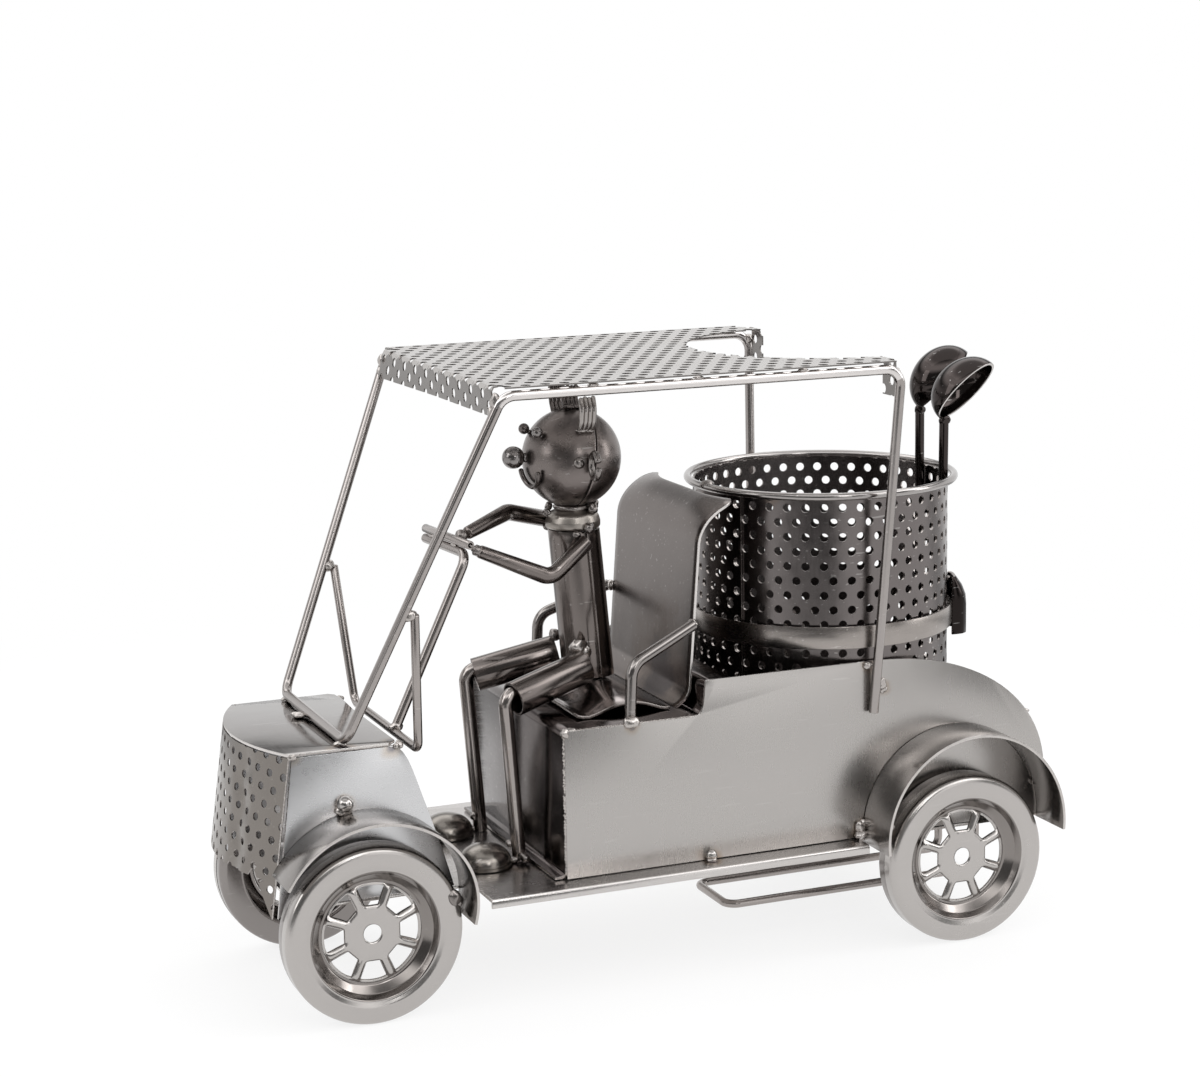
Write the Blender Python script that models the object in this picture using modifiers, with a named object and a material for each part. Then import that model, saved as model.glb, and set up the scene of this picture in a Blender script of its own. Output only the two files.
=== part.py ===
"""Wine bottle holder: a golf cart and its driver, cut, bent and welded from sheet steel, tube and wire.

Metres, +Z up. The nose points to -X and the near side, seen in the usual view, is -Y.
The origin is on the ground under the middle of the object. Every X below is measured from the
front axle and every Z from the ground.
"""
import math

import bmesh
import bpy
from mathutils import Matrix, Vector

# Stock and clearances
SEAT_GAP = 0.0003
CUT_OVERRUN = 0.004
SHEET = 0.0010
FRAME_WIRE_RADIUS = 0.0017
BRACE_WIRE_RADIUS = 0.0015
ARMREST_WIRE_RADIUS = 0.0020
FRAME_BEND = 0.0060
WIRE_BEND = 0.0045

# Where the front axle lies from the middle of the object
FRONT_AXLE_X = -0.1063

# Wheels and fenders
WHEELBASE = 0.2146
WHEEL_RADIUS = 0.0303
WHEEL_WIDTH = 0.0118
SHOULDER_RADIUS = 0.0030
BEAD_RADIUS = 0.0219
RIM_RADIUS = 0.0168
RIM_DEPTH = 0.0052
HUB_DISC_RADIUS = 0.0098
HUB_HOLE_RADIUS = 0.0031
SPOKE_WIDTH = 0.0039
SPOKES = 8
FENDER_RADIUS = 0.0355
FENDER_WIDTH = 0.0190
FRONT_FENDER_Z = 0.0350
REAR_FENDER_Z = 0.0418

# Floor pan
FLOOR_TOP = 0.0398
FLOOR_HALF_WIDTH = 0.0567
FLOOR_LIP = 0.0030
FLOOR_FRONT_GAP = 0.0020
BOTTLE_HOLE_RADIUS = 0.0400

# Hood
HOOD_HALF_WIDTH = 0.0368
HOOD_TOP = 0.0918
HOOD_FRONT_X = -0.0236
HOOD_REAR_X = 0.0130
HOOD_FOOT_X = 0.0312
NOSE_BULGE = 0.0101
NOSE_RAKE = 0.0079
NOSE_TIP_Z = 0.0369
GRILLE_BOTTOM_Z = 0.0495
GRILLE_HOLE_RADIUS = 0.0024
GRILLE_PITCH = 0.0112

# Body sides, seat box and rear deck
PANEL_HALF_WIDTH = 0.0476
PANEL_FRONT_X = 0.0676
SEAT_TOP = 0.0912
BODY_STEP_X = 0.1185
BODY_TOP = 0.1033
BODY_ARC_X = 0.1820
TAIL_X = 0.2525
TAIL_ARC_Z = 0.0550
SEAT_BOX_BEND = 0.0030
SEAT_BOX_FLANGE = 0.0040
SEAT_BOX_SHELF = 0.0100

# Bottle basket
BASKET_X = 0.1866
BASKET_RADIUS = 0.0462
BASKET_WALL = 0.0009
BASKET_TOP = 0.1632
BASKET_COLUMNS = 20
BASKET_ROWS = 6
BASKET_HOLE_RADIUS = 0.0037
RIM_WIRE_RADIUS = 0.0014
HOOP_Z = 0.1080
HOOP_HEIGHT = 0.0078
HOOP_THICKNESS = 0.0008
POCKET_HEIGHT = 0.0210
POCKET_WIDTH = 0.0150
POCKET_DEPTH = 0.0055
POCKET_LIFT = 0.0016

# Wire that the bottle stands on
REST_Z = 0.0103
REST_FRONT_X = 0.1420
REST_REAR_X = 0.2380
REST_HALF_WIDTH = 0.0140

# Canopy and its frame
CANOPY_HALF_WIDTH = 0.0625
CANOPY_WIRE_Z = 0.2068
CANOPY_FRONT_X = 0.0415
CANOPY_REAR_X = 0.1870
CANOPY_NOTCH_RADIUS = 0.0480
CANOPY_LIP = 0.0070
CANOPY_REAR_LIP = 0.0100
CANOPY_HOLE_RADIUS = 0.0035
CANOPY_PITCH = 0.0165
FRONT_POST_FOOT_X = -0.0045
FRONT_POST_TOP_X = 0.0440
REAR_POST_FOOT_X = 0.1823
REAR_POST_FOOT_Z = 0.0854

# Windscreen brace and steering
BRACE_X = 0.0205
BRACE_Z = 0.0880
BRACE_HALF_WIDTH = 0.0357
BRACE_HEIGHT = 0.0475
STEERING_Y = -0.0095
STEERING_KNEE = Vector((0.0473, -0.0128, 0.1472))
HANDLEBAR_NEAR_Y = -0.0155
HANDLEBAR_FAR_Y = 0.0223
HANDLEBAR_SKEW = 0.087

# Seat
SEAT_HALF_WIDTH = 0.0360
SEAT_BACK_X = 0.1175
SEAT_BACK_LEAN = 0.0045
SEAT_BACK_FOOT = 0.0050
SEAT_BACK_ROLL_Z = 0.1480
SEAT_BACK_ROLL_RADIUS = 0.0162
SEAT_BACK_ROLL = math.radians(70.0)
SEAT_BACK_CORNER = 0.0045
SEAT_PAN_FRONT_X = 0.0770
SEAT_PAN_LENGTH = 0.0340
SEAT_PAN_ARCH = 0.0055
ARMREST_X = 0.0925
ARMREST_HEIGHT = 0.0190
ARMREST_RISE = 0.0102

# Driver
DRIVER_HEAD_X = 0.0906
HEAD_RADIUS = 0.0172
HEAD_Z = 0.1753
HEAD_SEAM = 0.0020
NECK_RADIUS = 0.0096
NECK_HEIGHT = 0.0070
TORSO_RADIUS = 0.0094
TORSO_LEAN = 0.0045
ARM_RADIUS = 0.0029
THIGH_RADIUS = 0.0060
THIGH_WALL = 0.0009
THIGH_LENGTH = 0.0285
THIGH_SPLAY = 0.0066
THIGH_DROP = 0.0070
HIP_X = 0.0885
HIP_Y = 0.0132
HIP_Z = 0.1040
ARM_SPOTS = {
    "near": ((0.0906, -0.0126, 0.1476), (0.0768, -0.0140, 0.1366), (0.0516, -0.0139, 0.1479)),
    "far": ((0.0839, 0.0114, 0.1528), (0.0692, 0.0070, 0.1568), (0.0510, -0.0033, 0.1527)),
}
SHIN_RADIUS = 0.0025
SHIN_FOOT_X = 0.0606
FOOT_RADIUS = 0.0096
FOOT_HEIGHT = 0.0078
FOOT_Y = 0.0200
NOSE_RADIUS = 0.0039
EYE_RADIUS = 0.0019
MOUTH_WIRE_RADIUS = 0.0009
EAR_RADIUS = 0.0035
EAR_WIRE_RADIUS = 0.0010
TUFT_WIDTH = 0.0058
TUFT_LENGTH = 0.0115

# Golf clubs
CLUB_SHAFT_RADIUS = 0.0017
CLUB_TOP_Z = 0.1820
CLUB_HEAD_LENGTH = 0.0290
CLUB_HEAD_WIDTH = 0.0200
CLUB_HEAD_DEPTH = 0.0120
CLUB_SPOTS = {
    "near": (-27.0, (0.723, -0.170, 0.668), (0.42, -0.62, -0.66)),
    "far": (5.0, (0.657, -0.127, 0.743), (0.714, -0.277, -0.656)),
}

# Facets
ROUND_STEPS = 20
BEND_STEPS = 3
HOLE_SIDES = 6

# Values that follow from the sizes above
REAR_AXLE_X = WHEELBASE
PANEL_INNER = PANEL_HALF_WIDTH - SHEET
NOSE_ARC_RADIUS = (HOOD_HALF_WIDTH**2 + NOSE_BULGE**2) / (2 * NOSE_BULGE)
CANOPY_BOTTOM = CANOPY_WIRE_Z + FRAME_WIRE_RADIUS + SEAT_GAP
HEAD_CENTRE = Vector((DRIVER_HEAD_X, 0.0, HEAD_Z))
SIDES = (("near", -1), ("far", 1))

for leftover in list(bpy.data.objects):
    bpy.data.objects.remove(leftover, do_unlink=True)

parts = bpy.data.collections.new("golf_cart_bottle_holder")
cutters = bpy.data.collections.new("cutters")
bpy.context.scene.collection.children.link(parts)
bpy.context.scene.collection.children.link(cutters)


def steel(name, colour, roughness):
    """A plated steel: one Principled material for one sub-part."""
    material = bpy.data.materials.new(name)
    material.use_nodes = True
    shader = material.node_tree.nodes["Principled BSDF"]
    shader.inputs["Base Color"].default_value = (*colour, 1.0)
    shader.inputs["Roughness"].default_value = roughness
    shader.inputs["Metallic"].default_value = 1.0
    return material


def satin(name):
    """The warm light grey of the panels, wheels and canopy."""
    return steel(name, (0.56, 0.54, 0.52), 0.32)


def gunmetal(name):
    """The dark glossy grey of the driver, seat, basket and clubs."""
    return steel(name, (0.20, 0.185, 0.175), 0.22)


def place(data, name, material, location=(0.0, 0.0, 0.0), rotation=(0.0, 0.0, 0.0)):
    """Link one sub-part, with its X measured from the front axle."""
    part = bpy.data.objects.new(name, data)
    part.data.materials.append(material)
    part.location = (location[0] + FRONT_AXLE_X, location[1], location[2])
    part.rotation_euler = rotation
    parts.objects.link(part)
    return part


def mesh_from(bm, name, smooth=False):
    """Turn a bmesh into mesh data, shaded smooth with sharp edges kept."""
    mesh = bpy.data.meshes.new(name)
    bmesh.ops.recalc_face_normals(bm, faces=bm.faces)
    bm.to_mesh(mesh)
    bm.free()
    if smooth:
        mesh.shade_smooth()
        mesh.set_sharp_from_angle(angle=math.radians(40))
    return mesh


def rounded_path(points, bend, steps=BEND_STEPS):
    """Replace each inner corner of a polyline by an arc of radius bend."""
    points = [Vector(point) for point in points]
    path = [points[0]]
    for before, corner, after in zip(points, points[1:], points[2:]):
        back = (before - corner).normalized()
        ahead = (after - corner).normalized()
        half = back.angle(ahead) / 2
        reach = bend / math.tan(half)
        reach = min(reach, 0.45 * (before - corner).length, 0.45 * (after - corner).length)
        radius = reach * math.tan(half)
        centre = corner + (back + ahead).normalized() * (radius / math.sin(half))
        start = corner + back * reach - centre
        end = corner + ahead * reach - centre
        sweep = start.angle(end)
        for step in range(steps + 1):
            share = step / steps
            left = math.sin((1 - share) * sweep) / math.sin(sweep)
            right = math.sin(share * sweep) / math.sin(sweep)
            path.append(centre + start * left + end * right)
    path.append(points[-1])
    return path


def wire(name, points, radius, material, bend=None, cyclic=False, sides_level=2):
    """A round wire along a path, with closed ends."""
    path = [Vector(point) for point in points] if bend is None else rounded_path(points, bend)
    curve = bpy.data.curves.new(name, "CURVE")
    curve.dimensions = "3D"
    curve.bevel_depth = radius
    curve.bevel_resolution = sides_level
    curve.use_fill_caps = not cyclic
    spline = curve.splines.new("POLY")
    spline.points.add(len(path) - 1)
    for target, point in zip(spline.points, path):
        target.co = (*point, 1.0)
    spline.use_cyclic_u = cyclic
    return place(curve, name, material)


def plate(name, outlines, thickness, material, location, rotation):
    """A flat sheet from closed outlines; the inner outlines are its holes."""
    curve = bpy.data.curves.new(name, "CURVE")
    curve.dimensions = "2D"
    curve.fill_mode = "BOTH"
    curve.extrude = thickness / 2
    for outline in outlines:
        spline = curve.splines.new("POLY")
        spline.points.add(len(outline) - 1)
        for target, (u, v) in zip(spline.points, outline):
            target.co = (u, v, 0.0, 1.0)
        spline.use_cyclic_u = True
    return place(curve, name, material, location, rotation)


def to_mesh(part):
    """Make a curve object a mesh object of the same name, with its caps welded."""
    name = part.name
    bpy.context.view_layer.update()
    evaluated = part.evaluated_get(bpy.context.evaluated_depsgraph_get())
    mesh = bpy.data.meshes.new_from_object(evaluated)
    bm = bmesh.new()
    bm.from_mesh(mesh)
    bmesh.ops.remove_doubles(bm, verts=bm.verts, dist=SEAT_GAP / 100)
    bmesh.ops.recalc_face_normals(bm, faces=bm.faces)
    bm.to_mesh(mesh)
    bm.free()
    solid = bpy.data.objects.new(name, mesh)
    solid.matrix_world = part.matrix_world
    bpy.data.objects.remove(part, do_unlink=True)
    solid.name = name
    parts.objects.link(solid)
    return solid


def bent_sheet(name, profile, half_width, thickness, material, location=(0.0, 0.0, 0.0)):
    """A sheet folded along Y: an open profile in XZ, drawn across the width and thickened."""
    bm = bmesh.new()
    row = [bm.verts.new((point[0], -half_width, point[1])) for point in profile]
    edges = [bm.edges.new(pair) for pair in zip(row, row[1:])]
    drawn = bmesh.ops.extrude_edge_only(bm, edges=edges)
    moved = [item for item in drawn["geom"] if isinstance(item, bmesh.types.BMVert)]
    bmesh.ops.translate(bm, verts=moved, vec=(0.0, 2 * half_width, 0.0))
    part = place(mesh_from(bm, name, smooth=True), name, material, location)
    thicken(part, thickness)
    return part


def thicken(part, thickness, offset=0.0):
    """Solidify an open surface; offset 0 keeps the surface in the middle of the sheet."""
    solidify = part.modifiers.new("Thickness", "SOLIDIFY")
    solidify.thickness = thickness
    solidify.offset = offset
    solidify.use_even_offset = True
    return solidify


def turned(name, profile, material, location, rotation, closed=False, steps=ROUND_STEPS, smooth=True):
    """A turned piece: a profile of (radius, height) pairs, swept about its own Z."""
    bm = bmesh.new()
    ring = [bm.verts.new((radius, 0.0, height)) for radius, height in profile]
    for pair in zip(ring, ring[1:]):
        bm.edges.new(pair)
    if closed:
        bm.edges.new((ring[-1], ring[0]))
    mesh = bpy.data.meshes.new(name)
    bm.to_mesh(mesh)
    bm.free()
    part = place(mesh, name, material, location, rotation)
    screw = part.modifiers.new("Turn", "SCREW")
    screw.angle = math.tau
    screw.steps = steps
    screw.render_steps = steps
    screw.use_merge_vertices = True
    screw.merge_threshold = SEAT_GAP / 100
    screw.use_smooth_shade = smooth
    return part


def prism(bm, outline, bottom, top):
    """Add an upright prism over a flat outline."""
    corners = [bm.verts.new((u, v, bottom)) for u, v in outline]
    face = bm.faces.new(corners)
    grown = bmesh.ops.extrude_face_region(bm, geom=[face])
    moved = [item for item in grown["geom"] if isinstance(item, bmesh.types.BMVert)]
    bmesh.ops.translate(bm, verts=moved, vec=(0.0, 0.0, top - bottom))


def drill(bm, centre, axis, radius, depth, sides=HOLE_SIDES):
    """Add a drill for one round hole, with its middle at centre."""
    turn = Vector((0.0, 0.0, 1.0)).rotation_difference(Vector(axis)).to_matrix().to_4x4()
    bmesh.ops.create_cone(bm, cap_ends=True, segments=sides, radius1=radius, radius2=radius,
                          depth=depth, matrix=Matrix.Translation(centre) @ turn)


def cutter(bm, name, location=(0.0, 0.0, 0.0), rotation=(0.0, 0.0, 0.0)):
    """Make a bmesh the cutter that other parts subtract."""
    bmesh.ops.recalc_face_normals(bm, faces=bm.faces)
    mesh = bpy.data.meshes.new(name)
    bm.to_mesh(mesh)
    bm.free()
    tool = bpy.data.objects.new(name, mesh)
    tool.location = (location[0] + FRONT_AXLE_X, location[1], location[2])
    tool.rotation_euler = rotation
    tool.hide_render = True
    tool.display_type = "WIRE"
    cutters.objects.link(tool)
    return tool


def boolean(part, tool, operation="DIFFERENCE"):
    """Cut or join a part with a tool."""
    modifier = part.modifiers.new(operation.title(), "BOOLEAN")
    modifier.operation = operation
    modifier.object = tool
    modifier.solver = "EXACT"
    return modifier


def box(bm, low, high):
    """Add a box between two corners."""
    size = [b - a for a, b in zip(low, high)]
    middle = [(a + b) / 2 for a, b in zip(low, high)]
    made = bmesh.ops.create_cube(bm, size=1.0)
    bmesh.ops.scale(bm, verts=made["verts"], vec=size)
    bmesh.ops.translate(bm, verts=made["verts"], vec=middle)


def arc(centre, radius, start, end, steps):
    """Points on an arc, from start to end in degrees."""
    angles = [math.radians(start + (end - start) * step / steps) for step in range(steps + 1)]
    return [(centre[0] + radius * math.cos(a), centre[1] + radius * math.sin(a)) for a in angles]


def ball(name, centre, radius, material, segments=12):
    """A small ball welded to the head."""
    bm = bmesh.new()
    bmesh.ops.create_uvsphere(bm, u_segments=segments, v_segments=segments * 2 // 3, radius=radius)
    return place(mesh_from(bm, name, smooth=True), name, material, centre)


# Floor pan: one sheet with the bottle hole, a narrow tongue under the hood and folded side lips
def floor_pan():
    wide_front = FENDER_RADIUS + FLOOR_FRONT_GAP
    wide_rear = REAR_AXLE_X - FENDER_RADIUS - FLOOR_FRONT_GAP
    tongue = HOOD_FRONT_X - SHEET
    rear = TAIL_X - SHEET
    half = [(tongue, HOOD_HALF_WIDTH), (wide_front, HOOD_HALF_WIDTH), (wide_front, FLOOR_HALF_WIDTH),
            (wide_rear, FLOOR_HALF_WIDTH), (wide_rear, PANEL_HALF_WIDTH), (rear, PANEL_HALF_WIDTH)]
    outline = half + [(x, -y) for x, y in reversed(half)]
    hole = arc((BASKET_X, 0.0), BOTTLE_HOLE_RADIUS, 0, 360 - 360 / ROUND_STEPS, ROUND_STEPS - 1)
    pan = to_mesh(plate("floor_pan", [outline, hole], SHEET, satin("floor_steel"),
                        (0.0, 0.0, FLOOR_TOP - SHEET / 2), (0.0, 0.0, 0.0)))
    lips = bmesh.new()
    for _, side in SIDES:
        edges = sorted((side * FLOOR_HALF_WIDTH, side * (FLOOR_HALF_WIDTH - SHEET)))
        box(lips, (wide_front, edges[0], FLOOR_TOP - FLOOR_LIP), (wide_rear, edges[1], FLOOR_TOP))
    boolean(pan, cutter(lips, "floor_lips"), "UNION")


# Hood: a flat top with a bulged nose, two raked sides and a perforated grille
def nose_x(y):
    """How far the nose arc stands forward of the hood's front corners at y."""
    return math.sqrt(NOSE_ARC_RADIUS**2 - y**2) - (NOSE_ARC_RADIUS - NOSE_BULGE)


def hood():
    columns = ROUND_STEPS // 2
    across = [HOOD_HALF_WIDTH * (2 * column / columns - 1) for column in range(columns + 1)]
    top = [(HOOD_REAR_X, HOOD_HALF_WIDTH), (HOOD_REAR_X, -HOOD_HALF_WIDTH)]
    top += [(HOOD_FRONT_X - nose_x(y), y) for y in across]
    plate("hood_top", [top], SHEET, satin("hood_top_steel"),
          (0.0, 0.0, HOOD_TOP - SHEET / 2), (0.0, 0.0, 0.0))

    low = FLOOR_TOP + SEAT_GAP
    high = HOOD_TOP - SHEET - SEAT_GAP
    setback = 2 * SHEET
    rear_shares = ((0.27, 0.87), (0.49, 0.60), (0.76, 0.36))
    foot = HOOD_FOOT_X - HOOD_REAR_X
    side = [(HOOD_FRONT_X + setback, high), (HOOD_REAR_X, high)]
    side += [(HOOD_REAR_X + foot * u, low + (high - low) * v) for u, v in rear_shares]
    side += [(HOOD_FOOT_X, low), (HOOD_FRONT_X - 2 * SHEET, low),
             (HOOD_FRONT_X - NOSE_RAKE + setback, NOSE_TIP_Z)]
    for label, sign in SIDES:
        plate(f"hood_side_{label}", [side], SHEET, satin(f"hood_side_{label}_steel"),
              (0.0, sign * (HOOD_HALF_WIDTH - SHEET / 2), 0.0), (math.radians(90), 0.0, 0.0))

    bm = bmesh.new()
    rows = (high, GRILLE_BOTTOM_Z, NOSE_TIP_Z)
    rake = NOSE_RAKE / (HOOD_TOP - NOSE_TIP_Z)
    grid = []
    for z in rows:
        lean = (HOOD_TOP - z) * rake
        grid.append([bm.verts.new((HOOD_FRONT_X - nose_x(y) - lean, y, z)) for y in across])
    for upper, lower in zip(grid, grid[1:]):
        for column in range(columns):
            if lower is grid[-1] and 1 <= column < columns - 1:
                continue
            bm.faces.new((upper[column], lower[column], lower[column + 1], upper[column + 1]))
    for vert in grid[-1][2:-2]:
        bm.verts.remove(vert)
    for column in (1, columns - 1):
        grid[-1][column].co = grid[1][column].co.lerp(grid[-1][column].co, 0.12)
    grille = place(mesh_from(bm, "grille", smooth=True), "grille", satin("grille_steel"))
    thicken(grille, SHEET, offset=-1.0)
    drills = bmesh.new()
    row_step = GRILLE_PITCH * math.sqrt(3) / 2
    count = int((high - GRILLE_BOTTOM_Z - GRILLE_PITCH / 2) / row_step)
    for row in range(count):
        z = high - GRILLE_PITCH / 2 - row * row_step
        lean = (HOOD_TOP - z) * rake
        shift = GRILLE_PITCH / 2 if row % 2 else 0.0
        reach = int((HOOD_HALF_WIDTH - GRILLE_PITCH / 2 - shift) / GRILLE_PITCH)
        for column in range(-reach - (1 if shift else 0), reach + 1):
            y = column * GRILLE_PITCH + shift
            normal = Vector((math.sqrt(NOSE_ARC_RADIUS**2 - y**2), -y, 0.0)).normalized()
            drill(drills, (HOOD_FRONT_X - nose_x(y) - lean, y, z), normal, GRILLE_HOLE_RADIUS,
                  CUT_OVERRUN)
    boolean(grille, cutter(drills, "grille_drills"))


# Fenders: a rolled strip over each wheel, welded by one edge to the body
def fender(name, x, z, inner, side, first, last):
    bm = bmesh.new()
    radius = FENDER_RADIUS - SHEET / 2
    steps = ROUND_STEPS * 2 // 3
    row = [bm.verts.new((u, inner * side, v)) for u, v in arc((x, z), radius, first, last, steps)]
    edges = [bm.edges.new(pair) for pair in zip(row, row[1:])]
    drawn = bmesh.ops.extrude_edge_only(bm, edges=edges)
    moved = [item for item in drawn["geom"] if isinstance(item, bmesh.types.BMVert)]
    bmesh.ops.translate(bm, verts=moved, vec=(0.0, side * FENDER_WIDTH, 0.0))
    part = place(mesh_from(bm, name, smooth=True), name, satin(f"{name}_steel"))
    thicken(part, SHEET)


def fenders():
    for label, side in SIDES:
        fender(f"fender_front_{label}", 0.0, FRONT_FENDER_Z, HOOD_HALF_WIDTH + SEAT_GAP, side, -5, 151)
        fender(f"fender_rear_{label}", REAR_AXLE_X, REAR_FENDER_Z, PANEL_HALF_WIDTH + SEAT_GAP, side,
               -5, 186)


# Wheels: two pressed halves each, the outer one with eight windows between its spokes
def wheel(name, x, inner, side):
    half = WHEEL_WIDTH / 2
    seam = SEAT_GAP / 2
    soft = 0.3 * SHOULDER_RADIUS
    lip = BEAD_RADIUS + SHEET
    disc_top = half - RIM_DEPTH
    centre = (x, side * (inner + half), WHEEL_RADIUS)
    turn = (math.radians(-90 * side), 0.0, 0.0)
    outer = [(0.0, disc_top), (RIM_RADIUS, disc_top), (BEAD_RADIUS, half - SHEET), (lip, half),
             (WHEEL_RADIUS - SHOULDER_RADIUS, half), (WHEEL_RADIUS - soft, half - soft),
             (WHEEL_RADIUS, half - SHOULDER_RADIUS), (WHEEL_RADIUS, seam), (BEAD_RADIUS, seam),
             (RIM_RADIUS, disc_top - SHEET), (0.0, disc_top - SHEET)]
    disc = turned(f"{name}_outer", outer, satin(f"{name}_outer_steel"), centre, turn)
    back = [(BEAD_RADIUS, -seam), (WHEEL_RADIUS, -seam), (WHEEL_RADIUS, -half + SHOULDER_RADIUS),
            (WHEEL_RADIUS - SHOULDER_RADIUS, -half), (BEAD_RADIUS, -half)]
    turned(f"{name}_inner", back, satin(f"{name}_inner_steel"), centre, turn, closed=True)

    windows = bmesh.new()
    sector = math.tau / SPOKES
    for window in range(SPOKES):
        middle = window * sector + math.radians(90)
        ring_in = sector / 2 - math.asin(SPOKE_WIDTH / 2 / HUB_DISC_RADIUS)
        ring_out = sector / 2 - math.asin(SPOKE_WIDTH / 2 / RIM_RADIUS)
        reach = RIM_RADIUS - SHEET / 2
        outline = [(HUB_DISC_RADIUS * math.cos(middle + a), HUB_DISC_RADIUS * math.sin(middle + a))
                   for a in (ring_in, -ring_in)]
        outline += [(reach * math.cos(middle + a), reach * math.sin(middle + a))
                    for a in (-ring_out, 0.0, ring_out)]
        prism(windows, outline, disc_top - CUT_OVERRUN, disc_top + CUT_OVERRUN / 2)
    drill(windows, (0.0, 0.0, disc_top), (0.0, 0.0, 1.0), HUB_HOLE_RADIUS, CUT_OVERRUN, sides=10)
    boolean(disc, cutter(windows, f"{name}_windows", centre, turn))


def wheels():
    for label, side in SIDES:
        wheel(f"wheel_front_{label}", 0.0, HOOD_HALF_WIDTH + SEAT_GAP, side)
        wheel(f"wheel_rear_{label}", REAR_AXLE_X, PANEL_HALF_WIDTH + SEAT_GAP, side)


# Body: side panels, a folded seat box between them and a curved deck over the tail
def tail_arc(steps, inset=0.0, first=90.0, last=3.0):
    """The rounded tail, a quarter of a slightly squared ellipse."""
    squareness = 2 / 2.15
    points = []
    for step in range(steps + 1):
        angle = math.radians(first + (last - first) * step / steps)
        x = BODY_ARC_X + (TAIL_X - BODY_ARC_X - inset) * math.cos(angle)**squareness
        z = TAIL_ARC_Z + (BODY_TOP - TAIL_ARC_Z - inset) * math.sin(angle)**squareness
        points.append((x, z))
    return points


def body():
    low = FLOOR_TOP + SEAT_GAP
    corner_shares = ((0.0, 0.0), (0.12, 0.04), (0.30, 0.40), (0.45, 0.80), (1.0, 1.0))
    rise = BODY_TOP - SEAT_TOP
    step = [(BODY_STEP_X + rise * (u - 0.3) * 0.4, SEAT_TOP + rise * v) for u, v in corner_shares]
    outline = [(PANEL_FRONT_X, low), (PANEL_FRONT_X, SEAT_TOP)] + step + tail_arc(ROUND_STEPS // 2)
    outline += [(TAIL_X - SHEET, low)]
    for label, side in SIDES:
        plate(f"side_panel_{label}", [outline], SHEET, satin(f"side_panel_{label}_steel"),
              (0.0, side * (PANEL_HALF_WIDTH - SHEET / 2), 0.0), (math.radians(90), 0.0, 0.0))

    half = PANEL_INNER - SEAT_GAP
    skin = SHEET / 2
    riser = BODY_STEP_X + 2 * SHEET
    fold = [(PANEL_FRONT_X - SEAT_BOX_FLANGE, 0.0, low + skin), (PANEL_FRONT_X + skin, 0.0, low + skin),
            (PANEL_FRONT_X + skin, 0.0, SEAT_TOP - skin), (riser, 0.0, SEAT_TOP - skin),
            (riser, 0.0, BODY_TOP - skin - SHEET),
            (riser + SEAT_BOX_SHELF, 0.0, BODY_TOP - skin - SHEET)]
    profile = [(point.x, point.z) for point in rounded_path(fold, SEAT_BOX_BEND, 3)]
    bent_sheet("seat_box", profile, half, SHEET, gunmetal("seat_box_steel"))

    start = math.degrees(math.acos(((BASKET_X + BASKET_RADIUS + 3 * SHEET - BODY_ARC_X)
                                    / (TAIL_X - BODY_ARC_X))**(2.15 / 2)))
    deck = tail_arc(ROUND_STEPS // 3, inset=skin, first=start, last=3.0)
    deck.append((TAIL_X - SHEET - skin, low))
    bent_sheet("rear_deck", deck, half, SHEET, satin("rear_deck_steel"))


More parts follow.
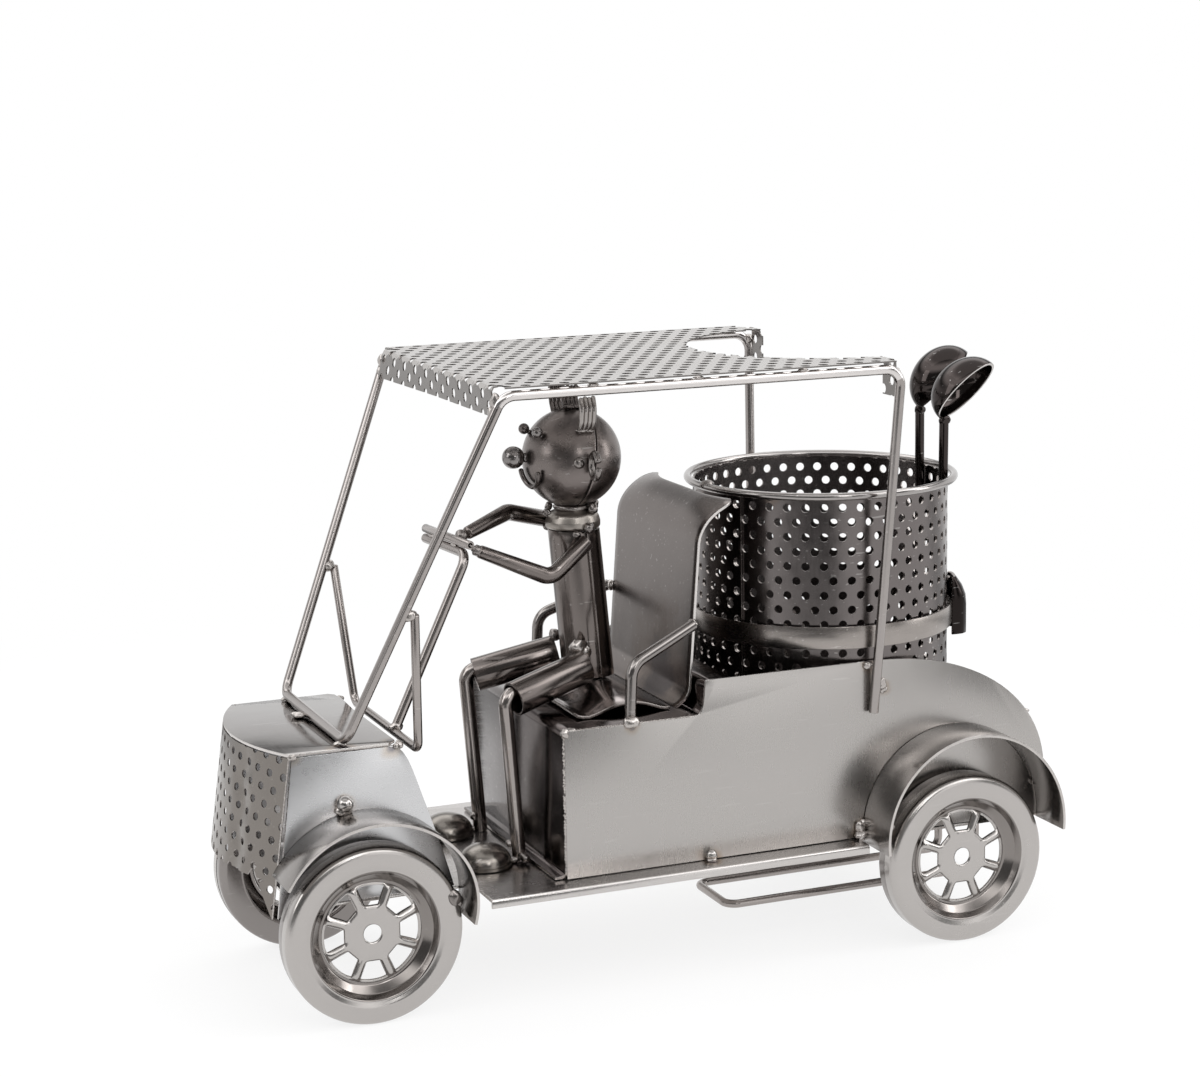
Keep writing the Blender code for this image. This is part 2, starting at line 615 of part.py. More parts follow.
# Bottle basket: perforated cylinder, rolled rim wire, hoop and a small pocket at the back
def basket():
    axis = (BASKET_X, 0.0, 0.0)
    bottom = FLOOR_TOP + SEAT_GAP
    inner = BASKET_RADIUS - BASKET_WALL
    wall = turned("basket", [(BASKET_RADIUS, BASKET_TOP), (BASKET_RADIUS, bottom), (inner, bottom),
                             (inner, BASKET_TOP)], gunmetal("basket_steel"), axis, (0.0, 0.0, 0.0),
                  closed=True, steps=BASKET_COLUMNS)
    drills = bmesh.new()
    margin = HOOP_HEIGHT
    pitch = (BASKET_TOP - bottom - 2 * margin) / (BASKET_ROWS - 0.5)
    for column in range(BASKET_COLUMNS):
        angle = math.tau * (column + 0.5) / BASKET_COLUMNS
        direction = Vector((math.cos(angle), math.sin(angle), 0.0))
        for row in range(BASKET_ROWS):
            z = bottom + margin + (row + (0.5 if column % 2 else 0.0)) * pitch
            drill(drills, direction * BASKET_RADIUS + Vector((0.0, 0.0, z)), direction,
                  BASKET_HOLE_RADIUS, CUT_OVERRUN)
    boolean(wall, cutter(drills, "basket_drills", axis))

    ring = BASKET_RADIUS + SEAT_GAP + RIM_WIRE_RADIUS
    rim_z = BASKET_TOP - RIM_WIRE_RADIUS
    circle = arc((BASKET_X, 0.0), ring, 0, 360 - 360 / BASKET_COLUMNS, BASKET_COLUMNS - 1)
    wire("basket_rim", [(x, y, rim_z) for x, y in circle], RIM_WIRE_RADIUS, gunmetal("rim_steel"),
         cyclic=True, sides_level=1)

    hoop_in = BASKET_RADIUS + SEAT_GAP
    hoop_out = hoop_in + HOOP_THICKNESS
    turned("basket_hoop", [(hoop_out, HOOP_Z + HOOP_HEIGHT), (hoop_out, HOOP_Z), (hoop_in, HOOP_Z),
                           (hoop_in, HOOP_Z + HOOP_HEIGHT)], gunmetal("hoop_steel"), axis,
           (0.0, 0.0, 0.0), closed=True, steps=BASKET_COLUMNS)

    seat = hoop_out + SEAT_GAP
    shell_shares = ((-0.5, 0.0), (-0.42, 0.65), (-0.2, 0.95), (0.0, 1.0), (0.2, 0.95), (0.42, 0.65),
                    (0.5, 0.0))
    sag = seat - math.sqrt(seat**2 - (POCKET_WIDTH / 2)**2)
    outline = [(seat - sag * (1 - depth) + POCKET_DEPTH * depth, POCKET_WIDTH * width)
               for width, depth in shell_shares]
    middle = arc((0.0, 0.0), seat, 0, -1, 1)[0]
    outline.append(middle)
    plate("basket_pocket", [outline], POCKET_HEIGHT, gunmetal("pocket_steel"),
          (BASKET_X, 0.0, HOOP_Z + HOOP_HEIGHT / 2 + POCKET_LIFT), (0.0, 0.0, math.radians(-20)))


# Bottle rest: a hairpin wire hung under the floor
def bottle_rest():
    top = FLOOR_TOP - SHEET - SEAT_GAP
    path = [(REST_REAR_X, REST_HALF_WIDTH, top), (REST_REAR_X, REST_HALF_WIDTH, REST_Z),
            (REST_FRONT_X, REST_HALF_WIDTH, REST_Z), (REST_FRONT_X, -REST_HALF_WIDTH, REST_Z),
            (REST_REAR_X, -REST_HALF_WIDTH, REST_Z), (REST_REAR_X, -REST_HALF_WIDTH, top)]
    wire("bottle_rest", path, BRACE_WIRE_RADIUS, satin("rest_steel"), WIRE_BEND)


# Canopy: a perforated sheet with a notch for the bottle, lips folded down, and its wire frame
def canopy():
    half = CANOPY_HALF_WIDTH
    rear = CANOPY_REAR_X
    notch = arc((rear, 0.0), CANOPY_NOTCH_RADIUS, -90, -270, ROUND_STEPS // 2)
    outline = [(CANOPY_FRONT_X, -half), (rear, -half)] + notch + [(rear, half), (CANOPY_FRONT_X, half)]
    sheet = to_mesh(plate("canopy", [outline], SHEET, satin("canopy_steel"),
                          (0.0, 0.0, CANOPY_BOTTOM + SHEET / 2), (0.0, 0.0, 0.0)))
    lips = bmesh.new()
    top = CANOPY_BOTTOM + SHEET
    lip_half = half - 3 * FRAME_WIRE_RADIUS - SEAT_GAP
    box(lips, (CANOPY_FRONT_X, -lip_half, top - CANOPY_LIP), (CANOPY_FRONT_X + SHEET, lip_half, top))
    for _, side in SIDES:
        edges = sorted((side * CANOPY_NOTCH_RADIUS, side * lip_half))
        box(lips, (rear - SHEET, edges[0], top - CANOPY_REAR_LIP), (rear, edges[1], top))
    boolean(sheet, cutter(lips, "canopy_lips"), "UNION")
    drills = bmesh.new()
    row_step = CANOPY_PITCH * math.sqrt(3) / 2
    rows = int((rear - CANOPY_FRONT_X - CANOPY_PITCH) / row_step) + 1
    for row in range(rows):
        x = CANOPY_FRONT_X + CANOPY_PITCH / 2 + row * row_step
        shift = CANOPY_PITCH / 2 if row % 2 else 0.0
        reach = int((lip_half - CANOPY_HOLE_RADIUS - shift) / CANOPY_PITCH)
        for column in range(-reach - (1 if shift else 0), reach + 1):
            y = column * CANOPY_PITCH + shift
            if math.hypot(rear - x, y) < CANOPY_NOTCH_RADIUS + 2 * CANOPY_HOLE_RADIUS:
                continue
            drill(drills, (x, y, top), (0.0, 0.0, 1.0), CANOPY_HOLE_RADIUS, CUT_OVERRUN)
    boolean(sheet, cutter(drills, "canopy_drills"))


def roof_frame():
    foot_y = PANEL_HALF_WIDTH + SEAT_GAP + FRAME_WIRE_RADIUS
    hood_z = HOOD_TOP + SEAT_GAP + FRAME_WIRE_RADIUS
    edge = CANOPY_HALF_WIDTH - FRAME_WIRE_RADIUS
    half = [(REAR_POST_FOOT_X, foot_y, REAR_POST_FOOT_Z), (CANOPY_REAR_X, edge, CANOPY_WIRE_Z),
            (FRONT_POST_TOP_X, edge, CANOPY_WIRE_Z), (FRONT_POST_FOOT_X, HOOD_HALF_WIDTH, hood_z)]
    path = [(x, -y, z) for x, y, z in half] + list(reversed(half))
    wire("roof_frame", path, FRAME_WIRE_RADIUS, satin("frame_steel"), FRAME_BEND)


# Windscreen brace between the front posts, steering column and handlebar
def windscreen_brace():
    hood_z = HOOD_TOP + SEAT_GAP + FRAME_WIRE_RADIUS
    top_z = BRACE_Z + BRACE_HEIGHT
    share = (top_z - hood_z) / (CANOPY_WIRE_Z - hood_z)
    post_x = FRONT_POST_FOOT_X + (FRONT_POST_TOP_X - FRONT_POST_FOOT_X) * share
    edge = CANOPY_HALF_WIDTH - FRAME_WIRE_RADIUS
    post_y = HOOD_HALF_WIDTH + (edge - HOOD_HALF_WIDTH) * share
    clear = (FRAME_WIRE_RADIUS + BRACE_WIRE_RADIUS + 2 * SEAT_GAP) * 1.08
    half = [(post_x + clear, post_y, top_z), (BRACE_X, BRACE_HALF_WIDTH, BRACE_Z)]
    path = [(x, -y, z) for x, y, z in half] + list(reversed(half))
    wire("windscreen_brace", path, BRACE_WIRE_RADIUS, satin("brace_steel"), WIRE_BEND)


def steering():
    foot = Vector((BRACE_X, STEERING_Y, BRACE_Z))
    knee = STEERING_KNEE
    start = foot + (knee - foot).normalized() * (BRACE_WIRE_RADIUS + SEAT_GAP)
    lift = Vector((0.0, 0.0, FRAME_WIRE_RADIUS + BRACE_WIRE_RADIUS + SEAT_GAP))
    near, far = [knee + Vector((HANDLEBAR_SKEW * (knee.y - y), y - knee.y, 0.0))
                 for y in (HANDLEBAR_NEAR_Y, HANDLEBAR_FAR_Y)]
    wire("steering_column", [start, knee, far], FRAME_WIRE_RADIUS, satin("column_steel"), WIRE_BEND)
    wire("handlebar", [near + lift, far + lift], BRACE_WIRE_RADIUS, satin("handlebar_steel"))


# Seat: an arched pan, a back that leans and curls at the top, and two bent armrests
def seat():
    low = SEAT_TOP + SEAT_GAP + SHEET / 2
    pan_shares = ((0.0, 0.22), (0.12, 0.0), (0.30, 0.55), (0.46, 0.95), (0.58, 1.0), (0.74, 0.75),
                  (0.90, 0.15), (1.0, 0.0))
    pan = [(SEAT_PAN_FRONT_X + SEAT_PAN_LENGTH * u, low + SEAT_PAN_ARCH * v) for u, v in pan_shares]
    bent_sheet("seat_pan", pan, SEAT_HALF_WIDTH, SHEET, gunmetal("seat_pan_steel"))

    bm = bmesh.new()
    columns = 8
    bottom = SEAT_TOP + SEAT_GAP
    rise = SEAT_BACK_ROLL_Z - bottom
    tilt = math.atan2(SEAT_BACK_LEAN, rise)
    profile = []
    for up in (0.0, 0.04, 0.08, 0.13, 0.19, 0.26, 0.5, 0.75, 1.0):
        foot = SEAT_BACK_FOOT * max(0.0, 1 - up / 0.26)**2
        profile.append((SEAT_BACK_X + SEAT_BACK_LEAN * up - foot, bottom + rise * up))
    roll_centre = (SEAT_BACK_X + SEAT_BACK_LEAN + SEAT_BACK_ROLL_RADIUS * math.cos(tilt),
                   SEAT_BACK_ROLL_Z - SEAT_BACK_ROLL_RADIUS * math.sin(tilt))
    for share in (0.2, 0.4, 0.6, 0.8, 0.9, 1.0):
        turn = tilt + (SEAT_BACK_ROLL - tilt) * share
        profile.append((roll_centre[0] - SEAT_BACK_ROLL_RADIUS * math.cos(turn),
                        roll_centre[1] + SEAT_BACK_ROLL_RADIUS * math.sin(turn)))
    grid = []
    last = len(profile) - 1
    for row, (x, z) in enumerate(profile):
        left = math.dist(profile[row], profile[last])
        cut = max(0.0, 1 - left / SEAT_BACK_CORNER)
        half = SEAT_HALF_WIDTH - SEAT_BACK_CORNER * (1 - math.sqrt(1 - cut**2))
        grid.append([bm.verts.new((x, half * (2 * column / columns - 1), z))
                     for column in range(columns + 1)])
    for lower, upper in zip(grid, grid[1:]):
        for column in range(columns):
            bm.faces.new((lower[column], lower[column + 1], upper[column + 1], upper[column]))
    back = place(mesh_from(bm, "seat_back", smooth=True), "seat_back", gunmetal("seat_back_steel"))
    thicken(back, SHEET)

    foot_z = SEAT_TOP + SEAT_GAP
    elbow_z = foot_z + ARMREST_HEIGHT
    end_z = elbow_z + ARMREST_RISE
    foot_y = PANEL_INNER - ARMREST_WIRE_RADIUS
    end_y = SEAT_HALF_WIDTH + ARMREST_WIRE_RADIUS + SEAT_GAP
    end_x = SEAT_BACK_X + SEAT_BACK_LEAN / 3
    for label, side in SIDES:
        path = [(ARMREST_X, side * foot_y, foot_z), (ARMREST_X + SHEET, side * foot_y, elbow_z),
                (end_x, side * end_y, end_z)]
        wire(f"armrest_{label}", path, ARMREST_WIRE_RADIUS, gunmetal(f"armrest_{label}_steel"), WIRE_BEND)


# Driver: shells, tubes and rods welded into a figure
def on_head(azimuth, height, distance):
    """A point off the head, with azimuth from straight ahead toward the near side, in degrees."""
    turn = math.radians(azimuth)
    rise = math.radians(height)
    ahead = Vector((-math.cos(rise) * math.cos(turn), -math.cos(rise) * math.sin(turn), math.sin(rise)))
    return HEAD_CENTRE + ahead * distance


def half_head(name, first, last, offset):
    """One of the two cups that make the head, turned about the direction of travel."""
    profile = [(HEAD_RADIUS * math.sin(a), HEAD_RADIUS * math.cos(a))
               for a in [first + (last - first) * step / 8 for step in range(9)]]
    rim = profile[-1] if offset < 0 else profile[0]
    cap = [(0.0, rim[1])]
    profile = profile + cap if offset < 0 else cap + profile
    turned(name, profile, gunmetal(f"{name}_steel"), HEAD_CENTRE, (0.0, math.radians(-90), 0.0))


def driver():
    seam = math.acos(-HEAD_SEAM / HEAD_RADIUS)
    split = math.asin(SEAT_GAP / HEAD_RADIUS)
    half_head("head_front", 0.0, seam, -1)
    half_head("head_rear", seam + split, math.pi, 1)

    neck_z = HEAD_Z - HEAD_RADIUS - SEAT_GAP - NECK_HEIGHT
    dome = [(NECK_RADIUS * math.sin(a), NECK_HEIGHT * math.cos(a))
            for a in [math.pi / 2 * step / 5 for step in range(6)]]
    turned("neck", dome + [(0.0, 0.0)], gunmetal("neck_steel"), (DRIVER_HEAD_X, 0.0, neck_z),
           (0.0, 0.0, 0.0), steps=16)

    waist_z = SEAT_TOP + SHEET + SEAT_PAN_ARCH + 2 * SEAT_GAP
    top = Vector((DRIVER_HEAD_X, 0.0, neck_z - SEAT_GAP))
    height = top.z - waist_z
    bm = bmesh.new()
    bmesh.ops.create_cone(bm, cap_ends=True, segments=ROUND_STEPS, radius1=TORSO_RADIUS,
                          radius2=TORSO_RADIUS, depth=height)
    bmesh.ops.translate(bm, verts=bm.verts, vec=(0.0, 0.0, waist_z + height / 2))
    for vert in bm.verts:
        vert.co.x += TORSO_LEAN * (top.z - vert.co.z) / height
    place(mesh_from(bm, "torso", smooth=True), "torso", gunmetal("torso_steel"), (top.x, 0.0, 0.0))

    for label, side in SIDES:
        shoulder, elbow, hand = [Vector(spot) for spot in ARM_SPOTS[label]]
        wire(f"arm_{label}", [shoulder, elbow, hand], ARM_RADIUS, gunmetal(f"arm_{label}_steel"),
             WIRE_BEND)

        run = Vector((-THIGH_LENGTH, side * THIGH_SPLAY, -THIGH_DROP))
        hip = Vector((HIP_X, side * HIP_Y, HIP_Z))
        bore = THIGH_RADIUS - THIGH_WALL
        length = run.length
        ahead = run.normalized()
        turned(f"thigh_{label}", [(0.0, length * 0.3), (bore, length * 0.3), (bore, length),
                                  (THIGH_RADIUS, length), (THIGH_RADIUS, 0.0), (0.0, 0.0)],
               gunmetal(f"thigh_{label}_steel"), hip, ahead.to_track_quat("Z", "Y").to_euler(), steps=16)

        over = ahead.cross(Vector((0.0, 1.0, 0.0))).normalized()
        if over.z < 0:
            over = -over
        settle = bore * math.cos(math.pi / 16) - SHIN_RADIUS - SEAT_GAP
        root = hip + ahead * (length * 0.55) + over * settle
        knee = hip + ahead * (length + 1.2 * SHIN_RADIUS) + over * settle
        ankle = Vector((SHIN_FOOT_X, side * FOOT_Y, FLOOR_TOP + SEAT_GAP))
        wire(f"shin_{label}", [root, knee, ankle], SHIN_RADIUS, gunmetal(f"shin_{label}_steel"),
             WIRE_BEND)

        foot_x = SHIN_FOOT_X - SHIN_RADIUS - FOOT_RADIUS - 2 * SEAT_GAP
        cap = [(FOOT_RADIUS * math.sin(a), FOOT_HEIGHT * math.cos(a))
               for a in [math.pi / 2 * step / 5 for step in range(6)]]
        turned(f"foot_{label}", cap + [(0.0, 0.0)], gunmetal(f"foot_{label}_steel"),
               (foot_x, side * FOOT_Y, FLOOR_TOP + SEAT_GAP), (0.0, 0.0, 0.0), steps=16)


def face():
    ball("nose", on_head(0.0, 4.0, HEAD_RADIUS + NOSE_RADIUS + SEAT_GAP), NOSE_RADIUS,
         gunmetal("nose_steel"))
    for label, azimuth in (("near", 24.0), ("far", -14.0)):
        ball(f"eye_{label}", on_head(azimuth, 33.0, HEAD_RADIUS + EYE_RADIUS + SEAT_GAP), EYE_RADIUS,
             gunmetal(f"eye_{label}_steel"), segments=9)
    lip = HEAD_RADIUS + MOUTH_WIRE_RADIUS + 2 * SEAT_GAP
    smile = [on_head(10.0 + 18.0 * math.sin(t), -27.0 + 17.0 * (1 - math.cos(t)), lip)
             for t in [math.radians(90 * step / 4) for step in range(-4, 5)]]
    wire("mouth", smile, MOUTH_WIRE_RADIUS, gunmetal("mouth_steel"))
    for label, side in SIDES:
        reach = HEAD_RADIUS + EAR_RADIUS + EAR_WIRE_RADIUS + SEAT_GAP
        centre = HEAD_CENTRE + Vector((0.0, side * reach, 0.0))
        loop = arc((0.0, 0.0), EAR_RADIUS, 0, 330, 11)
        wire(f"ear_{label}", [centre + Vector((0.0, u, v)) for u, v in loop], EAR_WIRE_RADIUS,
             gunmetal(f"ear_{label}_steel"), cyclic=True, sides_level=1)


def tufts():
    for label, lean in (("near", -52.0), ("top", 0.0), ("far", 52.0)):
        tilt = math.radians(lean)
        foot = HEAD_RADIUS + SHEET
        root = HEAD_CENTRE + Vector((0.0, foot * math.sin(tilt), foot * math.cos(tilt)))
        tip = TUFT_LENGTH * (1.0 if lean else 0.6)
        bow = TUFT_LENGTH / 4 * (1 if lean >= 0 else -1)
        spine = [(0.0, 0.0), (bow * 0.7, tip * 0.3), (bow, tip * 0.7), (bow * 0.6, tip)]
        bm = bmesh.new()
        row = [bm.verts.new((-TUFT_WIDTH / 2, u, v)) for u, v in spine]
        edges = [bm.edges.new(pair) for pair in zip(row, row[1:])]
        drawn = bmesh.ops.extrude_edge_only(bm, edges=edges)
        moved = [item for item in drawn["geom"] if isinstance(item, bmesh.types.BMVert)]
        bmesh.ops.translate(bm, verts=moved, vec=(TUFT_WIDTH, 0.0, 0.0))
        part = place(mesh_from(bm, f"tuft_{label}", smooth=True), f"tuft_{label}",
                     gunmetal(f"tuft_{label}_steel"), root)
        thicken(part, 1.6 * SHEET)


# Clubs: two shafts in the basket with spoon-shaped heads
def club_head(name, top, long_way, open_way):
    """A spoon bowl that rests by the lowest point of its rim on the shaft's end."""
    along = Vector(long_way).normalized()
    opening = Vector(open_way)
    opening = (opening - along * opening.dot(along)).normalized()
    across = opening.cross(along)
    long_dip = CLUB_HEAD_LENGTH / 2 * along.z
    wide_dip = CLUB_HEAD_WIDTH / 2 * across.z
    dip = math.hypot(long_dip, wide_dip)
    lowest = along * (-CLUB_HEAD_LENGTH / 2 * long_dip / dip)
    lowest += across * (-CLUB_HEAD_WIDTH / 2 * wide_dip / dip)
    centre = Vector(top) - lowest + Vector((0.0, 0.0, SHEET / 2 + SEAT_GAP))
    bm = bmesh.new()
    bmesh.ops.create_uvsphere(bm, u_segments=14, v_segments=8, radius=1.0)
    bmesh.ops.bisect_plane(bm, geom=bm.verts[:] + bm.edges[:] + bm.faces[:],
                           plane_co=(0.0, 0.0, 0.0), plane_no=(0.0, 0.0, 1.0), clear_outer=True)
    bmesh.ops.scale(bm, verts=bm.verts, vec=(CLUB_HEAD_LENGTH / 2, CLUB_HEAD_WIDTH / 2, CLUB_HEAD_DEPTH))
    axes = Matrix((along, across, opening)).transposed()
    head = place(mesh_from(bm, name, smooth=True), name, gunmetal(f"{name}_steel"), centre,
                 axes.to_euler())
    thicken(head, SHEET)


def clubs():
    reach = (BASKET_RADIUS - BASKET_WALL) * math.cos(math.pi / BASKET_COLUMNS)
    reach -= CLUB_SHAFT_RADIUS + SEAT_GAP
    for label, (angle, long_way, open_way) in CLUB_SPOTS.items():
        way = math.radians(angle)
        x = BASKET_X + reach * math.cos(way)
        y = reach * math.sin(way)
        wire(f"club_shaft_{label}", [(x, y, FLOOR_TOP + SEAT_GAP), (x, y, CLUB_TOP_Z)], CLUB_SHAFT_RADIUS,
             gunmetal(f"club_shaft_{label}_steel"))
        club_head(f"club_head_{label}", (x, y, CLUB_TOP_Z), long_way, open_way)


floor_pan()
hood()
fenders()
wheels()
body()
basket()
bottle_rest()
canopy()
roof_frame()
windscreen_brace()
steering()
seat()
driver()
face()
tufts()
clubs()
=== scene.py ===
import math

import bmesh
import bpy
from bmesh.types import BMEdge, BMVert
from mathutils import Matrix, Vector, noise


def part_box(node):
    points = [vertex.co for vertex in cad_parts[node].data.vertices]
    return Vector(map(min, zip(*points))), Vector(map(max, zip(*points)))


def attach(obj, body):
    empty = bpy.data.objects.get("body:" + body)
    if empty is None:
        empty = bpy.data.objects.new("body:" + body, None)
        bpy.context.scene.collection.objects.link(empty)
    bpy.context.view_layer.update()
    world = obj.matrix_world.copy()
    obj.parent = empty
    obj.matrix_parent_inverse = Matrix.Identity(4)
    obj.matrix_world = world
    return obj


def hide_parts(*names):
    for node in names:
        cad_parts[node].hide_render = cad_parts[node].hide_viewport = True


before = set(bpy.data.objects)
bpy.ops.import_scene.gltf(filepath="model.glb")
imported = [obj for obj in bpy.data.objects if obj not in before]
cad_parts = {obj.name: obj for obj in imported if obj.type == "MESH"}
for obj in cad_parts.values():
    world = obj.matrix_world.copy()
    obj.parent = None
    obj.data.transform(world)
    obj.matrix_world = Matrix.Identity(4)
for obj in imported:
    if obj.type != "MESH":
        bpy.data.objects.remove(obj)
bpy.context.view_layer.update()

# Camera
# It stands low off the near front corner, at the photograph's viewing angle, with a long lens.
# Its place and turn were solved from points of the wheels, the basket and the roof.
CAMERA_PLACE = Vector((-0.3517, -0.8656, 0.3222))
CAMERA_YAW = math.radians(23.12)
CAMERA_PITCH = math.radians(10.80)
CAMERA_ROLL = math.radians(0.83)
FOCAL_PIXELS = 2716.4
LENS_CENTRE = (661.9, 541.5)
PICTURE = (1200, 1077)
SENSOR_MM = 36.0
scene = bpy.context.scene
ahead = Vector((math.sin(CAMERA_YAW) * math.cos(CAMERA_PITCH),
                math.cos(CAMERA_YAW) * math.cos(CAMERA_PITCH), -math.sin(CAMERA_PITCH)))
level_ahead = Vector((math.sin(CAMERA_YAW), math.cos(CAMERA_YAW), 0))
level_right = Vector((math.cos(CAMERA_YAW), -math.sin(CAMERA_YAW), 0))
level_down = ahead.cross(level_right)
right = level_right * math.cos(CAMERA_ROLL) + level_down * math.sin(CAMERA_ROLL)
down = level_down * math.cos(CAMERA_ROLL) - level_right * math.sin(CAMERA_ROLL)
camera_data = bpy.data.cameras.new("camera")
camera_data.sensor_fit = "HORIZONTAL"
camera_data.sensor_width = SENSOR_MM
camera_data.lens = FOCAL_PIXELS * SENSOR_MM / PICTURE[0]
camera_data.shift_x = (PICTURE[0] / 2 - LENS_CENTRE[0]) / PICTURE[0]
camera_data.shift_y = (LENS_CENTRE[1] - PICTURE[1] / 2) / PICTURE[0]
camera_data.clip_start = 0.01
camera = bpy.data.objects.new("camera", camera_data)
camera.matrix_world = Matrix.Translation(CAMERA_PLACE) @ Matrix((right, -down, -ahead)).transposed().to_4x4()
scene.collection.objects.link(camera)
scene.camera = camera
scene.view_settings.view_transform = "Standard"


# Studio
# A white sweep behind and below, a large soft window over it, and a dimmer room on the camera's
# side, so that bright bands and dark bands run along the bent and polished steel.
class Value:
    """A number that varies inside a shader, with the ordinary signs of arithmetic."""

    def __init__(self, shade, socket):
        self.shade = shade
        self.socket = socket

    def join(self, operation, first, second):
        return self.shade.node("Math", {"operation": operation}, {0: first, 1: second})

    def __add__(self, other):
        return self.join("ADD", self, other)

    def __sub__(self, other):
        return self.join("SUBTRACT", self, other)

    def __rsub__(self, other):
        return self.join("SUBTRACT", other, self)

    def __mul__(self, other):
        return self.join("MULTIPLY", self, other)

    __radd__ = __add__
    __rmul__ = __mul__


class Shade:
    """The node tree of a material or world, and the one way in which a node is added to it."""

    def __init__(self, tree):
        self.tree = tree

    def node(self, kind, settings, sockets, output=0):
        made = self.tree.nodes.new("ShaderNode" + kind)
        for name, value in settings.items():
            setattr(made, name, value)
        for name, value in sockets.items():
            self.feed(made.inputs[name], value)
        return Value(self, made.outputs[output])

    def feed(self, socket, value):
        if isinstance(value, Value):
            self.tree.links.new(value.socket, socket)
        else:
            socket.default_value = value

    def between(self, value, low, high, start=0.0, end=1.0):
        """A smooth rise from start to end as a value goes from low to high."""
        return self.node("MapRange", {"interpolation_type": "SMOOTHSTEP"},
                         {"Value": value, "From Min": low, "From Max": high, "To Min": start, "To Max": end})

    def mix(self, share, first, second):
        return self.node("Mix", {"data_type": "RGBA"}, {0: share, 6: first, 7: second}, 2)

    def along(self, spot, way):
        """How far a spot lies along a direction."""
        return self.node("VectorMath", {"operation": "DOT_PRODUCT"}, {0: spot, 1: tuple(way)}, "Value")

    def speckle(self, spot, scale, detail, roughness=0.5):
        return self.node("TexNoise", {}, {"Vector": spot, "Scale": scale, "Detail": detail,
                                          "Roughness": roughness})

    def rays(self):
        """Whether a ray comes from the camera, from a mirror or through glass."""
        kinds = ("Camera", "Glossy", "Transmission")
        return [self.node("LightPath", {}, {}, f"Is {kind} Ray") for kind in kinds]


ROOM_GREY = 0.17
SWEEP_LEVEL = 0.92
CEILING_LEVEL = 1.95
OVERHEAD_DROP = 1.80
WHITE = (1, 1, 1, 1)
world = bpy.data.worlds.new("studio")
scene.world = world
world.use_nodes = True
room = Shade(world.node_tree)
facing = room.node("TexCoord", {}, {}, "Generated")
away = room.along(facing, level_ahead)
across = room.along(facing, level_right)
upward = room.along(facing, (0, 0, 1))
sweep = room.between(away, -0.25, 0.35)
ceiling = room.between(upward, 0.46, 0.66)
above_sweep = room.between(upward, 0.31, 0.47)
overhead = room.between(upward, 0.72, 0.90)
left_window = room.between(across, -0.70, -0.86)
right_window = room.between(across, 0.48, 0.62) * room.between(across, 0.86, 0.74)
right_strip = room.between(across, 0.92, 0.98)
level = ROOM_GREY + sweep * (1 - above_sweep) * (SWEEP_LEVEL - ROOM_GREY)
level = level + ceiling * (CEILING_LEVEL - overhead * OVERHEAD_DROP)
level = level + (left_window * 0.45 + right_window * 1.20 + right_strip * 0.75) * (1 - sweep)
grey = room.node("CombineColor", {}, {0: level, 1: level, 2: level})
seen, mirrored, let_through = room.rays()
backdrop = room.between(away, 0.30, 0.75) * (1 - above_sweep)
room.feed(world.node_tree.nodes["Background"].inputs["Color"],
          room.mix(seen + (mirrored + let_through) * backdrop, grey, WHITE))

LAMP_AIM = Vector((0, 0, 0.10))
for name, place, wide, tall, power in (("key", (-0.03, -1.15, 0.68), 0.20, 0.50, 1.2),
                                       ("left", (-1.35, -0.15, 0.80), 0.50, 0.80, 2.5),
                                       ("right", (1.15, -0.45, 0.60), 0.30, 0.90, 3.0),
                                       ("top", (0.05, 0.15, 1.30), 1.60, 1.40, 5.0)):
    lamp_data = bpy.data.lights.new(f"softbox_{name}", "AREA")
    lamp_data.shape = "RECTANGLE"
    lamp_data.size = wide
    lamp_data.size_y = tall
    lamp_data.energy = power
    lamp = bpy.data.objects.new(f"softbox_{name}", lamp_data)
    toward = (LAMP_AIM - Vector(place)).to_track_quat("-Z", "Y")
    lamp.matrix_world = Matrix.LocRotScale(Vector(place), toward, None)
    scene.collection.objects.link(lamp)


def painted(name):
    """A new material, with its tree of nodes and its shader."""
    material = bpy.data.materials.new(name)
    material.use_nodes = True
    return material, Shade(material.node_tree), material.node_tree.nodes["Principled BSDF"]


def tinted(tone, shares):
    """A colour for a socket, with each part of a tone taken by its share."""
    return (*[part * share for part, share in zip(tone, shares)], 1)


FLOOR_REACH = 6.0
FLOOR_WHITE = 0.96
PAPER_SHADE = 0.12
PAPER_GLOW = 0.82
floor_bm = bmesh.new()
bmesh.ops.create_grid(floor_bm, x_segments=1, y_segments=1, size=FLOOR_REACH)
floor_mesh = bpy.data.meshes.new("studio_floor")
floor_bm.to_mesh(floor_mesh)
floor_bm.free()
floor_paint, paper, matt = painted("studio_floor")
matt.inputs["Base Color"].default_value = tinted(WHITE, [FLOOR_WHITE] * 3)
matt.inputs["Roughness"].default_value = 1.0
matt.inputs["Specular IOR Level"].default_value = 0.0
spot = paper.node("TexCoord", {}, {}, "Object")
distance = paper.node("VectorMath", {"operation": "LENGTH"}, {0: spot}, "Value")
far_off = paper.between(distance, 0.22, 0.60, PAPER_GLOW, 1.0)
past_cart = paper.along(spot, level_ahead)
sideways = paper.along(spot, level_right)
off_paper = (paper.between(past_cart, -0.44, -0.60) * paper.between(sideways, -0.62, -0.42)
             * paper.between(sideways, 0.34, 0.16))
in_shade = (paper.between(past_cart, 0.24, 0.36) * paper.between(past_cart, 0.70, 0.42, 0.0, 0.6)
            + off_paper)
paper_seen, paper_mirrored, paper_through = paper.rays()
glow = floor_paint.node_tree.nodes.new("ShaderNodeEmission")
